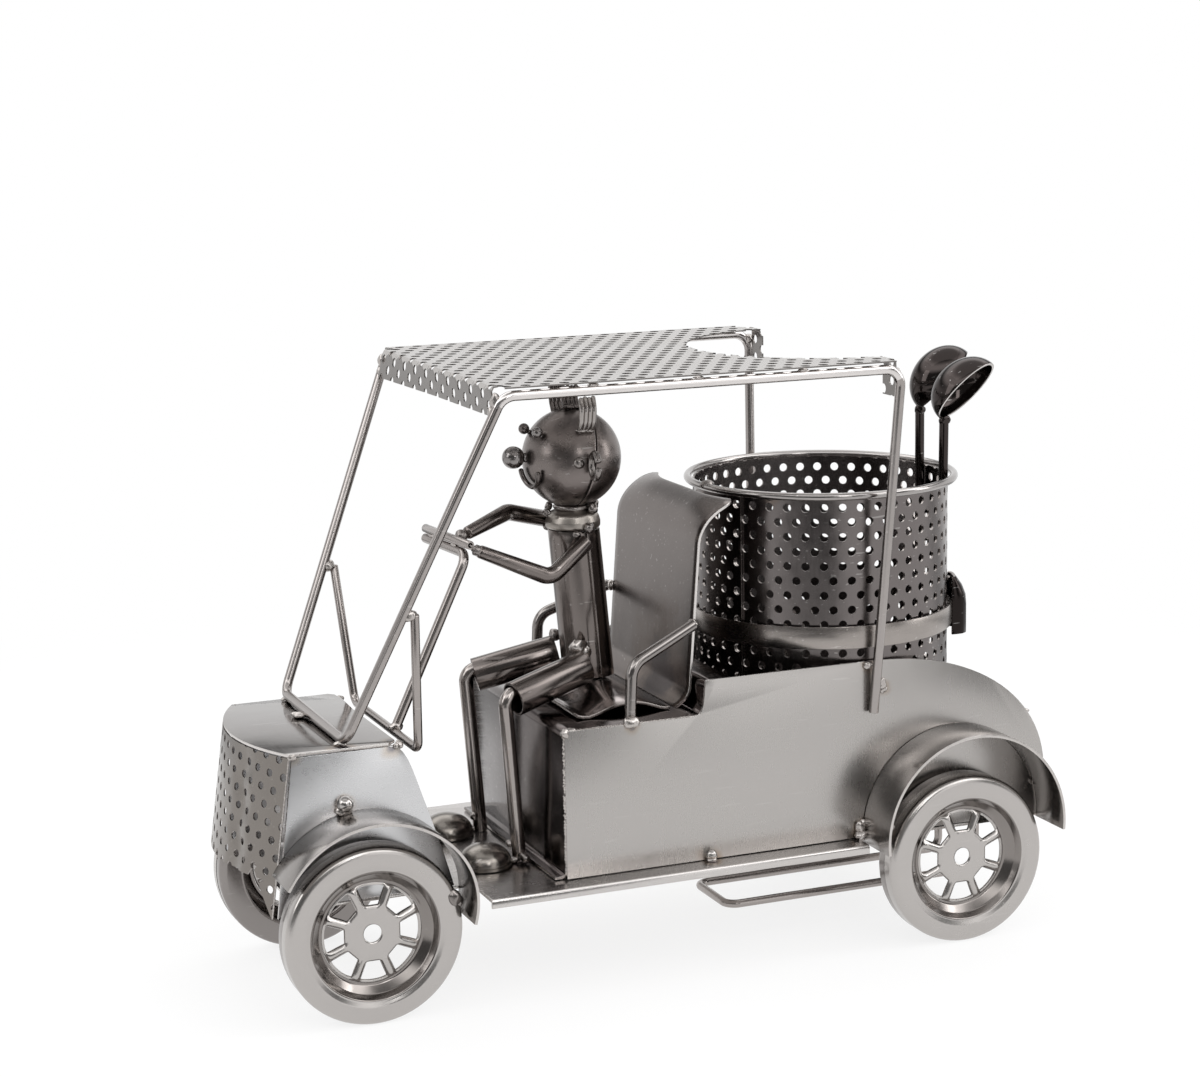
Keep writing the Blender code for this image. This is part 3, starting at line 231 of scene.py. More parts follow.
paper.feed(glow.inputs["Color"],
           paper.mix(in_shade * paper_mirrored, WHITE, tinted(WHITE, [PAPER_SHADE] * 3)))
blend = floor_paint.node_tree.nodes.new("ShaderNodeMixShader")
paper.feed(blend.inputs[0], far_off * (paper_seen + paper_through + paper_mirrored))
for source, socket in ((matt, blend.inputs[1]), (glow, blend.inputs[2]),
                       (blend, floor_paint.node_tree.nodes["Material Output"].inputs[0])):
    floor_paint.node_tree.links.new(source.outputs[0], socket)
floor_mesh.materials.append(floor_paint)
floor = bpy.data.objects.new("studio_floor", floor_mesh)
scene.collection.objects.link(floor)


# Floor pan
# One sheet of 1 mm steel with a round hole sawn under the basket and a tongue under the hood. Its
# long sides are folded down, and the body is welded on top of it.
SHEET = 0.001
GAP = 0.0003
SOFT_EDGE = 0.00012
FLOOR_TOP = 0.0398
axle_low, axle_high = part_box("wheel_front_near_outer")
AXLE_X = (axle_low[0] + axle_high[0]) / 2
SOOT = (0.45, 0.45, 0.45)
STRAW_AND_SHADE = (0.80, 0.66, 0.52)
BLUED_AND_SHADE = (0.32, 0.32, 0.36)
BARED = (0.80, 0.78, 0.76, 1)


def steel(name, tone, roughness, drawn=(1, 1, 1), clouds=0.16, waves=0.20, grain=0.05, burns_and_shade=(), wear=0.5,
          uneven=1.0):
    """A bare or plated steel, with drawing lines along one way, cloudy tone, pits and scratches."""
    material, metal, shader = painted(name)
    shader.inputs["Metallic"].default_value = 1.0
    here = metal.node("TexCoord", {}, {}, "Object")
    lined = metal.node("Mapping", {}, {"Vector": here, "Scale": drawn})
    streaked = metal.node("Mapping", {}, {"Vector": here, "Rotation": (0.4, 0.9, 0.3),
                                          "Scale": (60, 900, 900)})
    cloud = metal.speckle(here, 24, 2)
    mottle = metal.speckle(here, 190, 3, 0.6)
    lines = metal.speckle(lined, 1400, 3)
    pits = metal.speckle(here, 1100, 2)
    scratch = metal.between(metal.speckle(streaked, 1, 1), 0.70, 0.74)
    dark = tinted(tone, [1 - clouds] * 3)
    light = tinted(tone, [1 + clouds] * 3)
    colour = metal.mix(cloud * 0.45 + mottle * 0.35 + lines * 0.20, dark, light)
    colour = metal.mix(metal.between(pits, 0.70, 0.80) * wear, colour, tinted(tone, SOOT))
    colour = metal.mix(scratch * 0.4 * wear, colour, BARED)
    # Heat tints round weld spots, straw further out and blue nearer. One wide entry, at the foot of the seat
    # back, is painted shade instead: it darkens the lower back.
    for (x, y, z), reach in burns_and_shade:
        span = metal.node("VectorMath", {"operation": "DISTANCE"}, {0: here, 1: (x + AXLE_X, y, z)}, "Value")
        straw_and_shade = metal.between(span + (mottle - 0.5) * (reach * 0.7), reach, reach * 0.35)
        colour = metal.mix(straw_and_shade * 0.55, colour, tinted(tone, STRAW_AND_SHADE))
        blue_and_shade = metal.between(span + (mottle - 0.5) * (reach * 0.5), reach * 0.5, reach * 0.2)
        colour = metal.mix(blue_and_shade * 0.75, colour, tinted(tone, BLUED_AND_SHADE))
    metal.feed(shader.inputs["Base Color"], colour)
    metal.feed(shader.inputs["Roughness"],
               (cloud * 0.16 + lines * 0.10 + mottle * 0.12 - 0.19) * uneven + roughness)
    relief = cloud * waves + lines * (grain * 0.10) + mottle * (grain * 0.35) - scratch * (grain * 0.05)
    metal.feed(shader.inputs["Normal"],
               metal.node("Bump", {}, {"Strength": 1.0, "Distance": 0.001, "Height": relief}, "Normal"))
    return material


cut_edge = steel("bright_cut_edge", (0.66, 0.63, 0.61), 0.26, clouds=0.35, grain=0.12)
dark_edge = steel("dark_cut_edge", (0.34, 0.31, 0.295), 0.26, clouds=0.30, grain=0.12)


def piece(bm, name, finish, nodes=(), slot="satin_steel", sheet=0.0, lift=-1.0, edge=None, soften=0.0,
          face=None, sharp=38.0, joined=True):
    """Finish a mesh as one piece of the object, with its wall, its rounded edges and its metal."""
    if joined:
        bmesh.ops.remove_doubles(bm, verts=bm.verts, dist=GAP / 60)
        bmesh.ops.recalc_face_normals(bm, faces=bm.faces)
    if face is not None:
        front = sum((item.normal * item.calc_area() for item in bm.faces), Vector())
        if front.dot(Vector(face)) < 0:
            bmesh.ops.reverse_faces(bm, faces=bm.faces)
    bmesh.ops.translate(bm, verts=bm.verts, vec=(AXLE_X, 0, 0))
    mesh = bpy.data.meshes.new(name)
    bm.to_mesh(mesh)
    bm.free()
    mesh.materials.append(finish)
    mesh.materials.append(edge or finish)
    made = bpy.data.objects.new(name, mesh)
    scene.collection.objects.link(made)
    if sheet:
        wall = made.modifiers.new("wall", "SOLIDIFY")
        wall.thickness = sheet
        wall.offset = lift
        wall.use_even_offset = True
        wall.material_offset_rim = 1
    if soften:
        rounding = made.modifiers.new("rounding", "BEVEL")
        rounding.width = soften
        rounding.segments = 2
        rounding.limit_method = "ANGLE"
        rounding.angle_limit = math.radians(50)
    if sheet or soften:
        bpy.context.view_layer.update()
        shaped = made.evaluated_get(bpy.context.evaluated_depsgraph_get())
        walled = bpy.data.meshes.new_from_object(shaped)
        made.modifiers.clear()
        made.data = walled
        bpy.data.meshes.remove(mesh)
        mesh = walled
        mesh.name = name
    mesh.shade_smooth()
    mesh.set_sharp_from_angle(angle=math.radians(sharp))
    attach(made, "root")
    if nodes:
        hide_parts(*nodes)
    return made


def plate(bm, name, finish, node, face, edge=cut_edge, soften=SOFT_EDGE, **how):
    """A piece of 1 mm sheet with lightly dulled edges."""
    piece(bm, name, finish, [node], sheet=SHEET, edge=edge, soften=soften, face=face, **how)


def only(kind, geom):
    """The parts of one kind among some geometry."""
    return [item for item in geom if isinstance(item, kind)]


def draw_out(bm, edges, by, times=1):
    """Extrude some edges by a step, once or more, and return the last edges."""
    for _ in range(times):
        grown = bmesh.ops.extrude_edge_only(bm, edges=edges)["geom"]
        bmesh.ops.translate(bm, verts=only(BMVert, grown), vec=by)
        edges = only(BMEdge, grown)
    return edges


def line(bm, points, closed=False):
    """A chain of edges through some points."""
    verts = [bm.verts.new(point) for point in points]
    ends = verts[1:] + verts[:1] if closed else verts[1:]
    return [bm.edges.new(pair) for pair in zip(verts, ends)]


def filled(outline, way, hole=None):
    """A flat sheet inside an outline, with its round hole if it has one."""
    bm = bmesh.new()
    line(bm, outline, closed=True)
    if hole:
        bmesh.ops.create_circle(bm, segments=72, radius=hole[1], matrix=Matrix.Translation(hole[0]))
    bmesh.ops.triangle_fill(bm, edges=bm.edges, use_beauty=True, normal=way)
    return bm


HOOD_HALF = 0.0368
PANEL_HALF = 0.0476
FLOOR_HALF = 0.0567
FLOOR_LIP = 0.003
FLOOR_FOLD = 0.0009
FLOOR_HOLE = 0.04
BASKET_X = 0.1866
pan_side = [(-0.0226, HOOD_HALF), (0.0375, HOOD_HALF), (0.0375, FLOOR_HALF), (0.1771, FLOOR_HALF),
            (0.1771, PANEL_HALF), (0.2515, PANEL_HALF)]
pan_outline = pan_side + [(x, -y) for x, y in reversed(pan_side)]
pan = filled([(x, y, FLOOR_TOP) for x, y in pan_outline], (0, 0, 1), ((BASKET_X, 0, FLOOR_TOP), FLOOR_HOLE))
folds = [edge for edge in pan.edges if edge.is_boundary
         and all(abs(vert.co.y) > FLOOR_HALF - GAP for vert in edge.verts)]
draw_out(pan, folds, (0, 0, -FLOOR_LIP))
bmesh.ops.bevel(pan, geom=folds, offset=FLOOR_FOLD, segments=4, profile=0.5, affect="EDGES", material=-1)
floor_steel = steel("floor_steel", (0.56, 0.535, 0.52), 0.24, drawn=(0.05, 1, 1),
                    burns_and_shade=[((0.1201, -0.05, FLOOR_TOP), 0.006), ((0.06, -0.024, FLOOR_TOP), 0.012)])
plate(pan, "floor_pan_sheet", floor_steel, "floor_pan", (0, 0, 1))


# Rest wire
# A hairpin of 3 mm rod, welded by its two ends under the floor. What the basket carries stands
# on it, through the hole in the floor.
REST_FRONT_X = 0.142
REST_REAR_X = 0.2435
REST_Z = 0.0103
REST_HALF = 0.014
REST_RADIUS = 0.0015
WIRE_BEND = 0.0045
CAP_SHARES = ((0.45, 0.89), (0.80, 0.60), (0.97, 0.24))


def rounded(points, bend, steps=7):
    """A path through some points, with each inner corner bent to a radius."""
    points = [Vector(point) for point in points]
    path = [points[0]]
    for before, corner, after in zip(points, points[1:], points[2:]):
        back = (before - corner).normalized()
        onward = (after - corner).normalized()
        half = back.angle(onward) / 2
        reach = min(bend / math.tan(half), 0.45 * (before - corner).length, 0.45 * (after - corner).length)
        radius = reach * math.tan(half)
        centre = corner + (back + onward).normalized() * (radius / math.sin(half))
        start = corner + back * reach - centre
        end = corner + onward * reach - centre
        turn = start.angle(end)
        for step in range(steps + 1):
            share = step / steps
            path.append(centre + start * (math.sin((1 - share) * turn) / math.sin(turn))
                        + end * (math.sin(share * turn) / math.sin(turn)))
    path.append(points[-1])
    return path


def rod(bm, path, radius, sides=18, dome=1.0, closed=False, widths=None, wide=(1, 1)):
    """A bar along a path: a circle extruded from point to point, turned with the path, then closed."""
    path = [Vector(point) for point in path]
    widths = widths or [1] * len(path)
    if not closed:
        tips = ((path[0], path[1], widths[0]), (path[-1], path[-2], widths[-1]))
        head, tail = [[(place + (place - inner).normalized() * radius * dome * out, width * share)
                       for out, share in CAP_SHARES] for place, inner, width in tips]
        path, widths = zip(*(head[::-1] + list(zip(path, widths)) + tail))
    count = len(path)
    ways = []
    for index in range(count):
        before = path[index - 1] if closed or index else path[0]
        after = path[(index + 1) % count] if closed or index < count - 1 else path[-1]
        ways.append((after - before).normalized())
    turn = ways[0].to_track_quat("Z", "Y")
    stand = Matrix.LocRotScale(path[0], turn, Vector((widths[0] * wide[0], widths[0] * wide[1], 1)))
    ring = bmesh.ops.create_circle(bm, cap_ends=not closed, segments=sides, radius=radius,
                                   matrix=stand)["verts"]
    start = edges = list({edge for vert in ring for edge in vert.link_edges})
    for index in range(1, count):
        turn = ways[index - 1].rotation_difference(ways[index]) @ turn
        width = Vector((widths[index] * wide[0], widths[index] * wide[1], 1))
        onward = Matrix.LocRotScale(path[index], turn, width)
        grown = bmesh.ops.extrude_edge_only(bm, edges=edges)["geom"]
        bmesh.ops.transform(bm, matrix=onward @ stand.inverted(), verts=only(BMVert, grown))
        edges = only(BMEdge, grown)
        stand = onward
    if closed:
        bmesh.ops.bridge_loops(bm, edges=start + edges)
    else:
        bmesh.ops.contextual_create(bm, geom=edges)


rest_top = FLOOR_TOP - SHEET - GAP
rest_side = [(REST_REAR_X, REST_HALF, rest_top), (REST_REAR_X, REST_HALF, REST_Z),
             (REST_FRONT_X, REST_HALF, REST_Z)]
rest = bmesh.new()
rest_path = rest_side + [(x, -y, z) for x, y, z in reversed(rest_side)]
rod(rest, rounded(rest_path, WIRE_BEND), REST_RADIUS, dome=0.2)
wire_steel = steel("wire_steel", (0.35, 0.32, 0.305), 0.20, clouds=0.22, grain=0.02, wear=0.3)
piece(rest, "bottle_rest_wire", wire_steel, ["bottle_rest"])


# Hood
# A flat lid with a bulged nose edge stands on two raked side sheets, with a curved grille of
# perforated sheet between them. The corners are gas welded and then ground back.
SIDES = (("near", -1), ("far", 1))
HOOD_TOP = 0.0918
HOOD_FRONT_X = -0.0236
HOOD_REAR_X = 0.013
HOOD_FOOT_X = 0.0312
NOSE_BULGE = 0.0101
NOSE_RAKE = 0.0079
NOSE_TIP_Z = 0.0369
GRILLE_BOTTOM = 0.0495
NOSE_ARC = (HOOD_HALF**2 + NOSE_BULGE**2) / (2 * NOSE_BULGE)


def nose(y):
    """How far the nose stands forward of the hood's front corners."""
    return math.sqrt(NOSE_ARC**2 - y**2) - (NOSE_ARC - NOSE_BULGE)


nose_edge = [(HOOD_FRONT_X - nose(y), y) for y in [HOOD_HALF * (step / 16 - 1) for step in range(33)]]
rear_edge = [(HOOD_REAR_X - 0.002, HOOD_HALF), (HOOD_REAR_X, HOOD_HALF - 0.002),
             (HOOD_REAR_X + 0.0006, 0.028), (HOOD_REAR_X - 0.0003, 0.012),
             (HOOD_REAR_X, -HOOD_HALF + 0.003), (HOOD_REAR_X - 0.003, -HOOD_HALF)]
lid = filled([(x, y, HOOD_TOP) for x, y in nose_edge + rear_edge], (0, 0, 1))
lid_steel = steel("hood_lid_steel", (0.31, 0.295, 0.286), 0.13, drawn=(1, 0.06, 1), clouds=0.10, waves=0.35,
                  grain=0.03,
                  burns_and_shade=[((-0.0055, -0.036, HOOD_TOP), 0.007), ((0.012, -0.034, HOOD_TOP), 0.005)])
plate(lid, "hood_lid", lid_steel, "hood_top", (0, 0, 1), soften=0.00015)

cheek_low = FLOOR_TOP + GAP
cheek_high = HOOD_TOP - SHEET - GAP
cheek_foot = HOOD_FOOT_X - HOOD_REAR_X
cheek_rear = [(HOOD_REAR_X + cheek_foot * u, cheek_low + (cheek_high - cheek_low) * v)
              for u, v in ((0.02, 0.985), (0.10, 0.955), (0.19, 0.90), (0.27, 0.83), (0.40, 0.69),
                           (0.54, 0.54), (0.76, 0.30), (0.90, 0.13))]
cheek_outline = ([(HOOD_FRONT_X + 0.0008, cheek_high), (HOOD_REAR_X - 0.0035, cheek_high)] + cheek_rear
                 + [(HOOD_FOOT_X, cheek_low), (HOOD_FRONT_X - 2 * SHEET, cheek_low),
                    (HOOD_FRONT_X - NOSE_RAKE + 0.002, NOSE_TIP_Z)])
cheek_steel = steel("hood_side_steel", (0.63, 0.63, 0.637), 0.28, drawn=(0.3, 1, 1), clouds=0.12, waves=0.35,
                    grain=0.012, uneven=0.6,
                    burns_and_shade=[((-0.0059, -0.0376, 0.0727), 0.005), ((-0.0225, -0.0376, 0.0905), 0.004),
                           ((0.011, -0.0376, 0.09), 0.005)])
for label, side in SIDES:
    cheek = filled([(x, side * HOOD_HALF, z) for x, z in cheek_outline], (0, side, 0))
    plate(cheek, f"hood_cheek_{label}", cheek_steel, f"hood_side_{label}", (0, side, 0))

HOLE_SIDES = 12
GRILLE_PITCH = 0.006
GRILLE_ROW = 0.0053
GRILLE_HOLE = 0.00135
GRILLE_TILT = math.radians(6)
CREASE_Y = -0.015
CREASE_DEPTH = 0.0011
CREASE_HALF = 0.006
WING_Y = 0.0294
WING_Z = 0.048
PUNCHED_SHEET = 0.0005


def repeat(bm, step, times):
    """Set copies of everything in a row, each one step from the last."""
    last = bm.verts[:] + bm.edges[:] + bm.faces[:]
    for _ in range(times):
        last = bmesh.ops.duplicate(bm, geom=last)["geom"]
        bmesh.ops.translate(bm, verts=only(BMVert, last), vec=step)


def perforated(pitch, row_pitch, hole, columns, rows, first):
    """A field of staggered holes in the XY plane: one six-sided cell with its hole, set row on row."""
    bm = bmesh.new()
    border = bmesh.ops.create_circle(bm, segments=6, radius=1.0)["verts"]
    bmesh.ops.scale(bm, verts=border, vec=(pitch / math.sqrt(3), row_pitch * 2 / 3, 1))
    bmesh.ops.subdivide_edges(bm, edges=bm.edges[:], cuts=HOLE_SIDES // 6 - 1)
    bmesh.ops.create_circle(bm, segments=HOLE_SIDES, radius=hole)
    bmesh.ops.bridge_loops(bm, edges=bm.edges[:])
    bmesh.ops.translate(bm, verts=bm.verts, vec=(*first, 0))
    repeat(bm, (pitch, 0, 0), columns - 1)
    pair = bmesh.ops.duplicate(bm, geom=bm.verts[:] + bm.edges[:] + bm.faces[:])["geom"]
    bmesh.ops.translate(bm, verts=only(BMVert, pair), vec=(pitch / 2, row_pitch, 0))
    repeat(bm, (0, 2 * row_pitch, 0), (rows + 1) // 2 - 1)
    bmesh.ops.remove_doubles(bm, verts=bm.verts, dist=GAP / 30)
    return bm


def saw(bm, way, reach, keep=None, start=(0, 0, 0)):
    """Cut away what lies past a reach along a way, of all faces or of those that keep picks."""
    faces = [item for item in bm.faces if keep is None or keep(item.calc_center_median())]
    edges = {edge for item in faces for edge in item.edges}
    verts = {vert for item in faces for vert in item.verts}
    bmesh.ops.bisect_plane(bm, geom=faces + list(edges) + list(verts), plane_no=way, clear_outer=True,
                           plane_co=Vector(start) + Vector(way) * reach)
    bmesh.ops.delete(bm, geom=[vert for vert in bm.verts if not vert.link_faces], context="VERTS")


grille = perforated(GRILLE_PITCH, GRILLE_ROW, GRILLE_HOLE, 17, 16, (-0.051, -0.038))
bmesh.ops.rotate(grille, verts=grille.verts, cent=(0, 0, 0), matrix=Matrix.Rotation(GRILLE_TILT, 3, "Z"))
bmesh.ops.translate(grille, verts=grille.verts, vec=(0, 0.062, 0))
for _, side in SIDES:
    saw(grille, (side, 0, 0), HOOD_HALF)
    saw(grille, (side * (NOSE_TIP_Z - WING_Z), WING_Y - HOOD_HALF, 0), 0,
        keep=lambda spot: spot.x * side > WING_Y - 0.003, start=(side * WING_Y, WING_Z, 0))
saw(grille, (0, 1, 0), cheek_high)
saw(grille, (0, -1, 0), -GRILLE_BOTTOM, keep=lambda spot: abs(spot.x) < WING_Y)
for vert in grille.verts:
    y, z = vert.co.x, vert.co.y
    lean = (HOOD_TOP - z) * NOSE_RAKE / (HOOD_TOP - NOSE_TIP_Z)
    kink = CREASE_Y + 0.0012 * math.sin(z * 420)
    crease = CREASE_DEPTH * max(0, 1 - abs(y - kink) / CREASE_HALF) * min(1, (HOOD_TOP - z) / 0.010)
    vert.co = (HOOD_FRONT_X - nose(min(abs(y), HOOD_HALF)) - lean + crease, y, z)
grille_steel = steel("grille_steel", (0.225, 0.205, 0.188), 0.22, clouds=0.20, waves=0.30, grain=0.02,
                     wear=0.2)
piece(grille, "perforated_grille", grille_steel, ["grille"], sheet=PUNCHED_SHEET, edge=dark_edge,
      face=(-1, 0, 0), sharp=45)


# Welds
# Small beads of filler where wires, fenders and sheets meet, left as the torch left them: lumpy,
# bright on their crowns and sooty at their rims. Each section calls for its own.
weld_metal = steel("weld_metal", (0.46, 0.43, 0.41), 0.26, clouds=0.40, waves=0.30, grain=0.60)
dark_weld = steel("dark_weld_metal", (0.24, 0.22, 0.21), 0.24, clouds=0.40, waves=0.30, grain=0.60)


def bead(bm, place, radius, stretch=(1, 1, 1), rough=0.22, subdivisions=3):
    """One lump of weld metal: a small ball, stretched and pushed out of round."""
    place = Vector(place)
    lump = bmesh.ops.create_icosphere(bm, subdivisions=subdivisions, radius=radius)["verts"]
    for vert in lump:
        swell = noise.noise(vert.co * (1.1 / radius) + place * 900)
        vert.co = Vector(a * b for a, b in zip(vert.co * (1 + rough * swell), stretch)) + place


def seam(bm, start, end, radius, pitch=0.0011, flat=0.5):
    """A run of weld along a joint, swelling and narrowing as the torch moved."""
    start = Vector(start)
    end = Vector(end)
    steps = max(2, int((end - start).length / pitch * 2))
    widths = [0.75 + 0.35 * (step % 2) + 0.5 * noise.noise(start * 700 + Vector((step * 0.7, 0, 0)))
              for step in range(steps + 1)]
    rod(bm, [start.lerp(end, step / steps) for step in range(steps + 1)], radius, sides=8, widths=widths,
        wide=(1, flat))


def both_sides(weld, bm, *places, **how):
    """The same bead or seam on the near side and on the far side."""
    for _, side in SIDES:
        weld(bm, *[(x, side * y, z) for x, y, z in places], **how)


def welded(bm, name, metal=weld_metal, slot="satin_steel"):
    """A piece of weld metal, whose lumps stay apart and lap over each other."""
    piece(bm, name, metal, slot=slot, sharp=60, joined=False)


hood_welds = bmesh.new()
hood_corner = (HOOD_FRONT_X, HOOD_HALF - 0.0001, HOOD_TOP - 0.0006)
both_sides(seam, hood_welds, hood_corner,
           (HOOD_FRONT_X - NOSE_RAKE * 0.98, HOOD_HALF - 0.0001, HOOD_TOP - 0.0541), radius=0.00055)
both_sides(seam, hood_welds, hood_corner, (HOOD_REAR_X - 0.002, HOOD_HALF - 0.0002, HOOD_TOP - 0.001),
           radius=0.00045)
both_sides(bead, hood_welds, (HOOD_FRONT_X + 0.001, HOOD_HALF - 0.0001, HOOD_TOP - 0.0012), radius=0.0012,
           stretch=(1.2, 0.5, 1))
both_sides(bead, hood_welds, (HOOD_REAR_X - 0.0005, HOOD_HALF, HOOD_TOP - 0.0014), radius=0.0011)
bead(hood_welds, (-0.0062, -HOOD_HALF - 0.0007, 0.071), 0.0024, stretch=(1.2, 0.8, 0.8), rough=0.15)
bead(hood_welds, (-0.0059, HOOD_HALF + 0.0012, 0.0709), 0.0026, stretch=(1.3, 0.9, 0.9))
welded(hood_welds, "hood_welds")
peg_steel = steel("peg_steel", (0.42, 0.40, 0.385), 0.18, clouds=0.12, waves=0.10, grain=0.03, wear=0.3)
pegs = bmesh.new()
bead(pegs, (-0.0059, -HOOD_HALF - 0.0017, 0.0734), 0.0028, rough=0.03, subdivisions=4)
bead(pegs, (0.1201, -PANEL_HALF - 0.0013, 0.0419), 0.002, rough=0.05, subdivisions=4)
welded(pegs, "welded_pegs", peg_steel)


# Fenders
# Each is a strip of sheet rolled to an arc and welded by its inner edge to the body. The outer
# edge is a raw shear cut that catches the light.
FENDER_RADIUS = 0.0355
FENDER_WIDTH = 0.019
FRONT_FENDER_Z = 0.035
REAR_FENDER_Z = 0.0418
REAR_AXLE_X = 0.2146
FRONT_END = 151
FAR_FRONT_END = 134
REAR_END = 186
TAIL_TUCK = 0.003
fender_steel = steel("fender_steel", (0.33, 0.312, 0.30), 0.20, drawn=(1, 0.05, 1), clouds=0.14, waves=0.25,
                     grain=0.03, wear=0.25)
fender_edge = steel("fender_cut_edge", (0.56, 0.53, 0.51), 0.30, clouds=0.50, grain=0.25)


def arc(centre, radius, first, last, steps):
    """Points in XZ on an arc, from one angle to another in degrees."""
    angles = [math.radians(first + (last - first) * step / steps) for step in range(steps + 1)]
    return [(centre[0] + radius * math.cos(angle), centre[1] + radius * math.sin(angle)) for angle in angles]


def strip(points, step, times=1):
    """A bent sheet: a line through some points, drawn out sideways in one step or more."""
    bm = bmesh.new()
    draw_out(bm, line(bm, points), step, times)
    return bm


for label, side in SIDES:
    for end, x, z, inner, last in (
            ("front", 0, FRONT_FENDER_Z, HOOD_HALF, FRONT_END if label == "near" else FAR_FRONT_END),
            ("rear", REAR_AXLE_X, REAR_FENDER_Z, PANEL_HALF, REAR_END)):
        tuck = TAIL_TUCK if end == "front" else 0
        run = [(u - tuck * max(0, 1 - (v - z + 0.003) / 0.030)**2 * (u > x), side * (inner + GAP), v)
               for u, v in arc((x, z), FENDER_RADIUS, -5, last, 48)]
        plate(strip(run, (0, side * FENDER_WIDTH, 0)), f"fender_{end}_{label}_strip", fender_steel,
              f"fender_{end}_{label}", (0, 0, 1), edge=fender_edge)
        fender_welds = bmesh.new()
        for angle in (16,) if end == "front" else (16, last - 12):
            u, v = arc((x, z), FENDER_RADIUS + GAP, angle, angle, 1)[0]
            bead(fender_welds, (u, side * (inner + 0.0006), v), 0.0013, stretch=(1.4, 0.7, 1))
        welded(fender_welds, f"fender_{end}_{label}_welds")


# Wheels
# Two halves pressed from sheet: the outer one is a flat tyre face with a soft shoulder, a rolled
# bead and a deep dish, where eight raised ribs run from the hub plate to the rim.
WHEEL_RADIUS = 0.0303
WHEEL_WIDTH = 0.0118
WHEEL_SHEET = 0.0008
WHEEL_BEND = 0.0026
HUB_HOLE = 0.0031
HUB_PLATE = 0.01
WINDOW_IN = 0.0105
WINDOW_OUT = 0.0163
RIM_RADIUS = 0.0172
DISH_RADIUS = 0.0222
DISH_DEPTH = 0.0052
RIB_HALF = 0.0018
RIB_CROWN = 0.002
SPOKE_SHEET = 0.0009
SPOKES = 8
wheel_steel = steel("wheel_steel", (0.47, 0.447, 0.43), 0.23, clouds=0.07, grain=0.012, wear=0.10)
# The dish steel is far darker than the tyre face: painted shade and dark reflection inside the dish. It also
# serves for the sheet's cut edges.
dish_shade_steel = steel("wheel_dish_painted_shade", (0.24, 0.22, 0.208), 0.16, clouds=0.12, grain=0.012, wear=0.10)
# The inner halves take a darker steel than the faces: painted shade on the inner faces that show on the far
# wheels.
back_shade_steel = steel("wheel_back_painted_shade", (0.27, 0.25, 0.24), 0.20, clouds=0.15, grain=0.02, wear=0.3)


def turned(profile, steps):
    """A profile of (radius, height) pairs, spun about the Z axis."""
    bm = bmesh.new()
    edges = line(bm, [(radius, 0, height) for radius, height in profile])
    bmesh.ops.spin(bm, geom=bm.verts[:] + edges, cent=(0, 0, 0), axis=(0, 0, 1), dvec=(0, 0, 0),
                   angle=math.tau, steps=steps, use_merge=True, use_duplicate=False)
    return bm


def soft_profile(points, bend, steps=5):
    """A profile whose corners are rounded to one radius."""
    return [(point.x, point.z) for point in rounded([(r, 0, h) for r, h in points], bend, steps)]


def put(bm, matrix):
    """Move and turn a whole mesh to its place."""
    bmesh.ops.transform(bm, matrix=matrix, verts=bm.verts)


def spoked_disc(level):
    """The hub plate, the ribs and the rim ring, as one wavy disc with its windows left open."""
    bm = bmesh.new()
    sector = math.tau / SPOKES
    rings = []
    for radius, height in ((HUB_HOLE, 0.001), (0.006, 0.0011), (HUB_PLATE, 0.0012), (WINDOW_IN, 0.0002),
                           (0.013, 0), (WINDOW_OUT, 0), (RIM_RADIUS, -0.0002)):
        ring = bmesh.ops.create_circle(bm, segments=8 * SPOKES, radius=1.0)["verts"]
        rib = math.asin(RIB_HALF / max(radius, HUB_PLATE))
        for index, vert in enumerate(ring):
            share = index % 8
            along = 0 if share == 0 else rib + (sector - 2 * rib) * (share - 1) / 6
            angle = (index // 8 + 0.5) * sector + along
            octagon = math.cos(sector / 2) / math.cos(along - sector / 2)
            reach = radius * (octagon if radius in (HUB_PLATE, WINDOW_IN) else 1)
            crown = RIB_CROWN if share == 0 and WINDOW_IN <= radius < RIM_RADIUS else 0
            vert.co = (reach * math.cos(angle), reach * math.sin(angle), level + height + crown)
        rings.append({edge for vert in ring for edge in vert.link_edges})
    for inner, outer in zip(rings, rings[1:]):
        bmesh.ops.bridge_loops(bm, edges=list(inner | outer))
    windows = []
    for item in bm.faces:
        spot = item.calc_center_median()
        from_rib = abs((math.atan2(spot.y, spot.x) % sector) - sector / 2)
        if WINDOW_IN * 0.95 < spot.length < WINDOW_OUT and from_rib * spot.length > RIB_HALF:
            windows.append(item)
    bmesh.ops.delete(bm, geom=windows, context="FACES")
    return bm


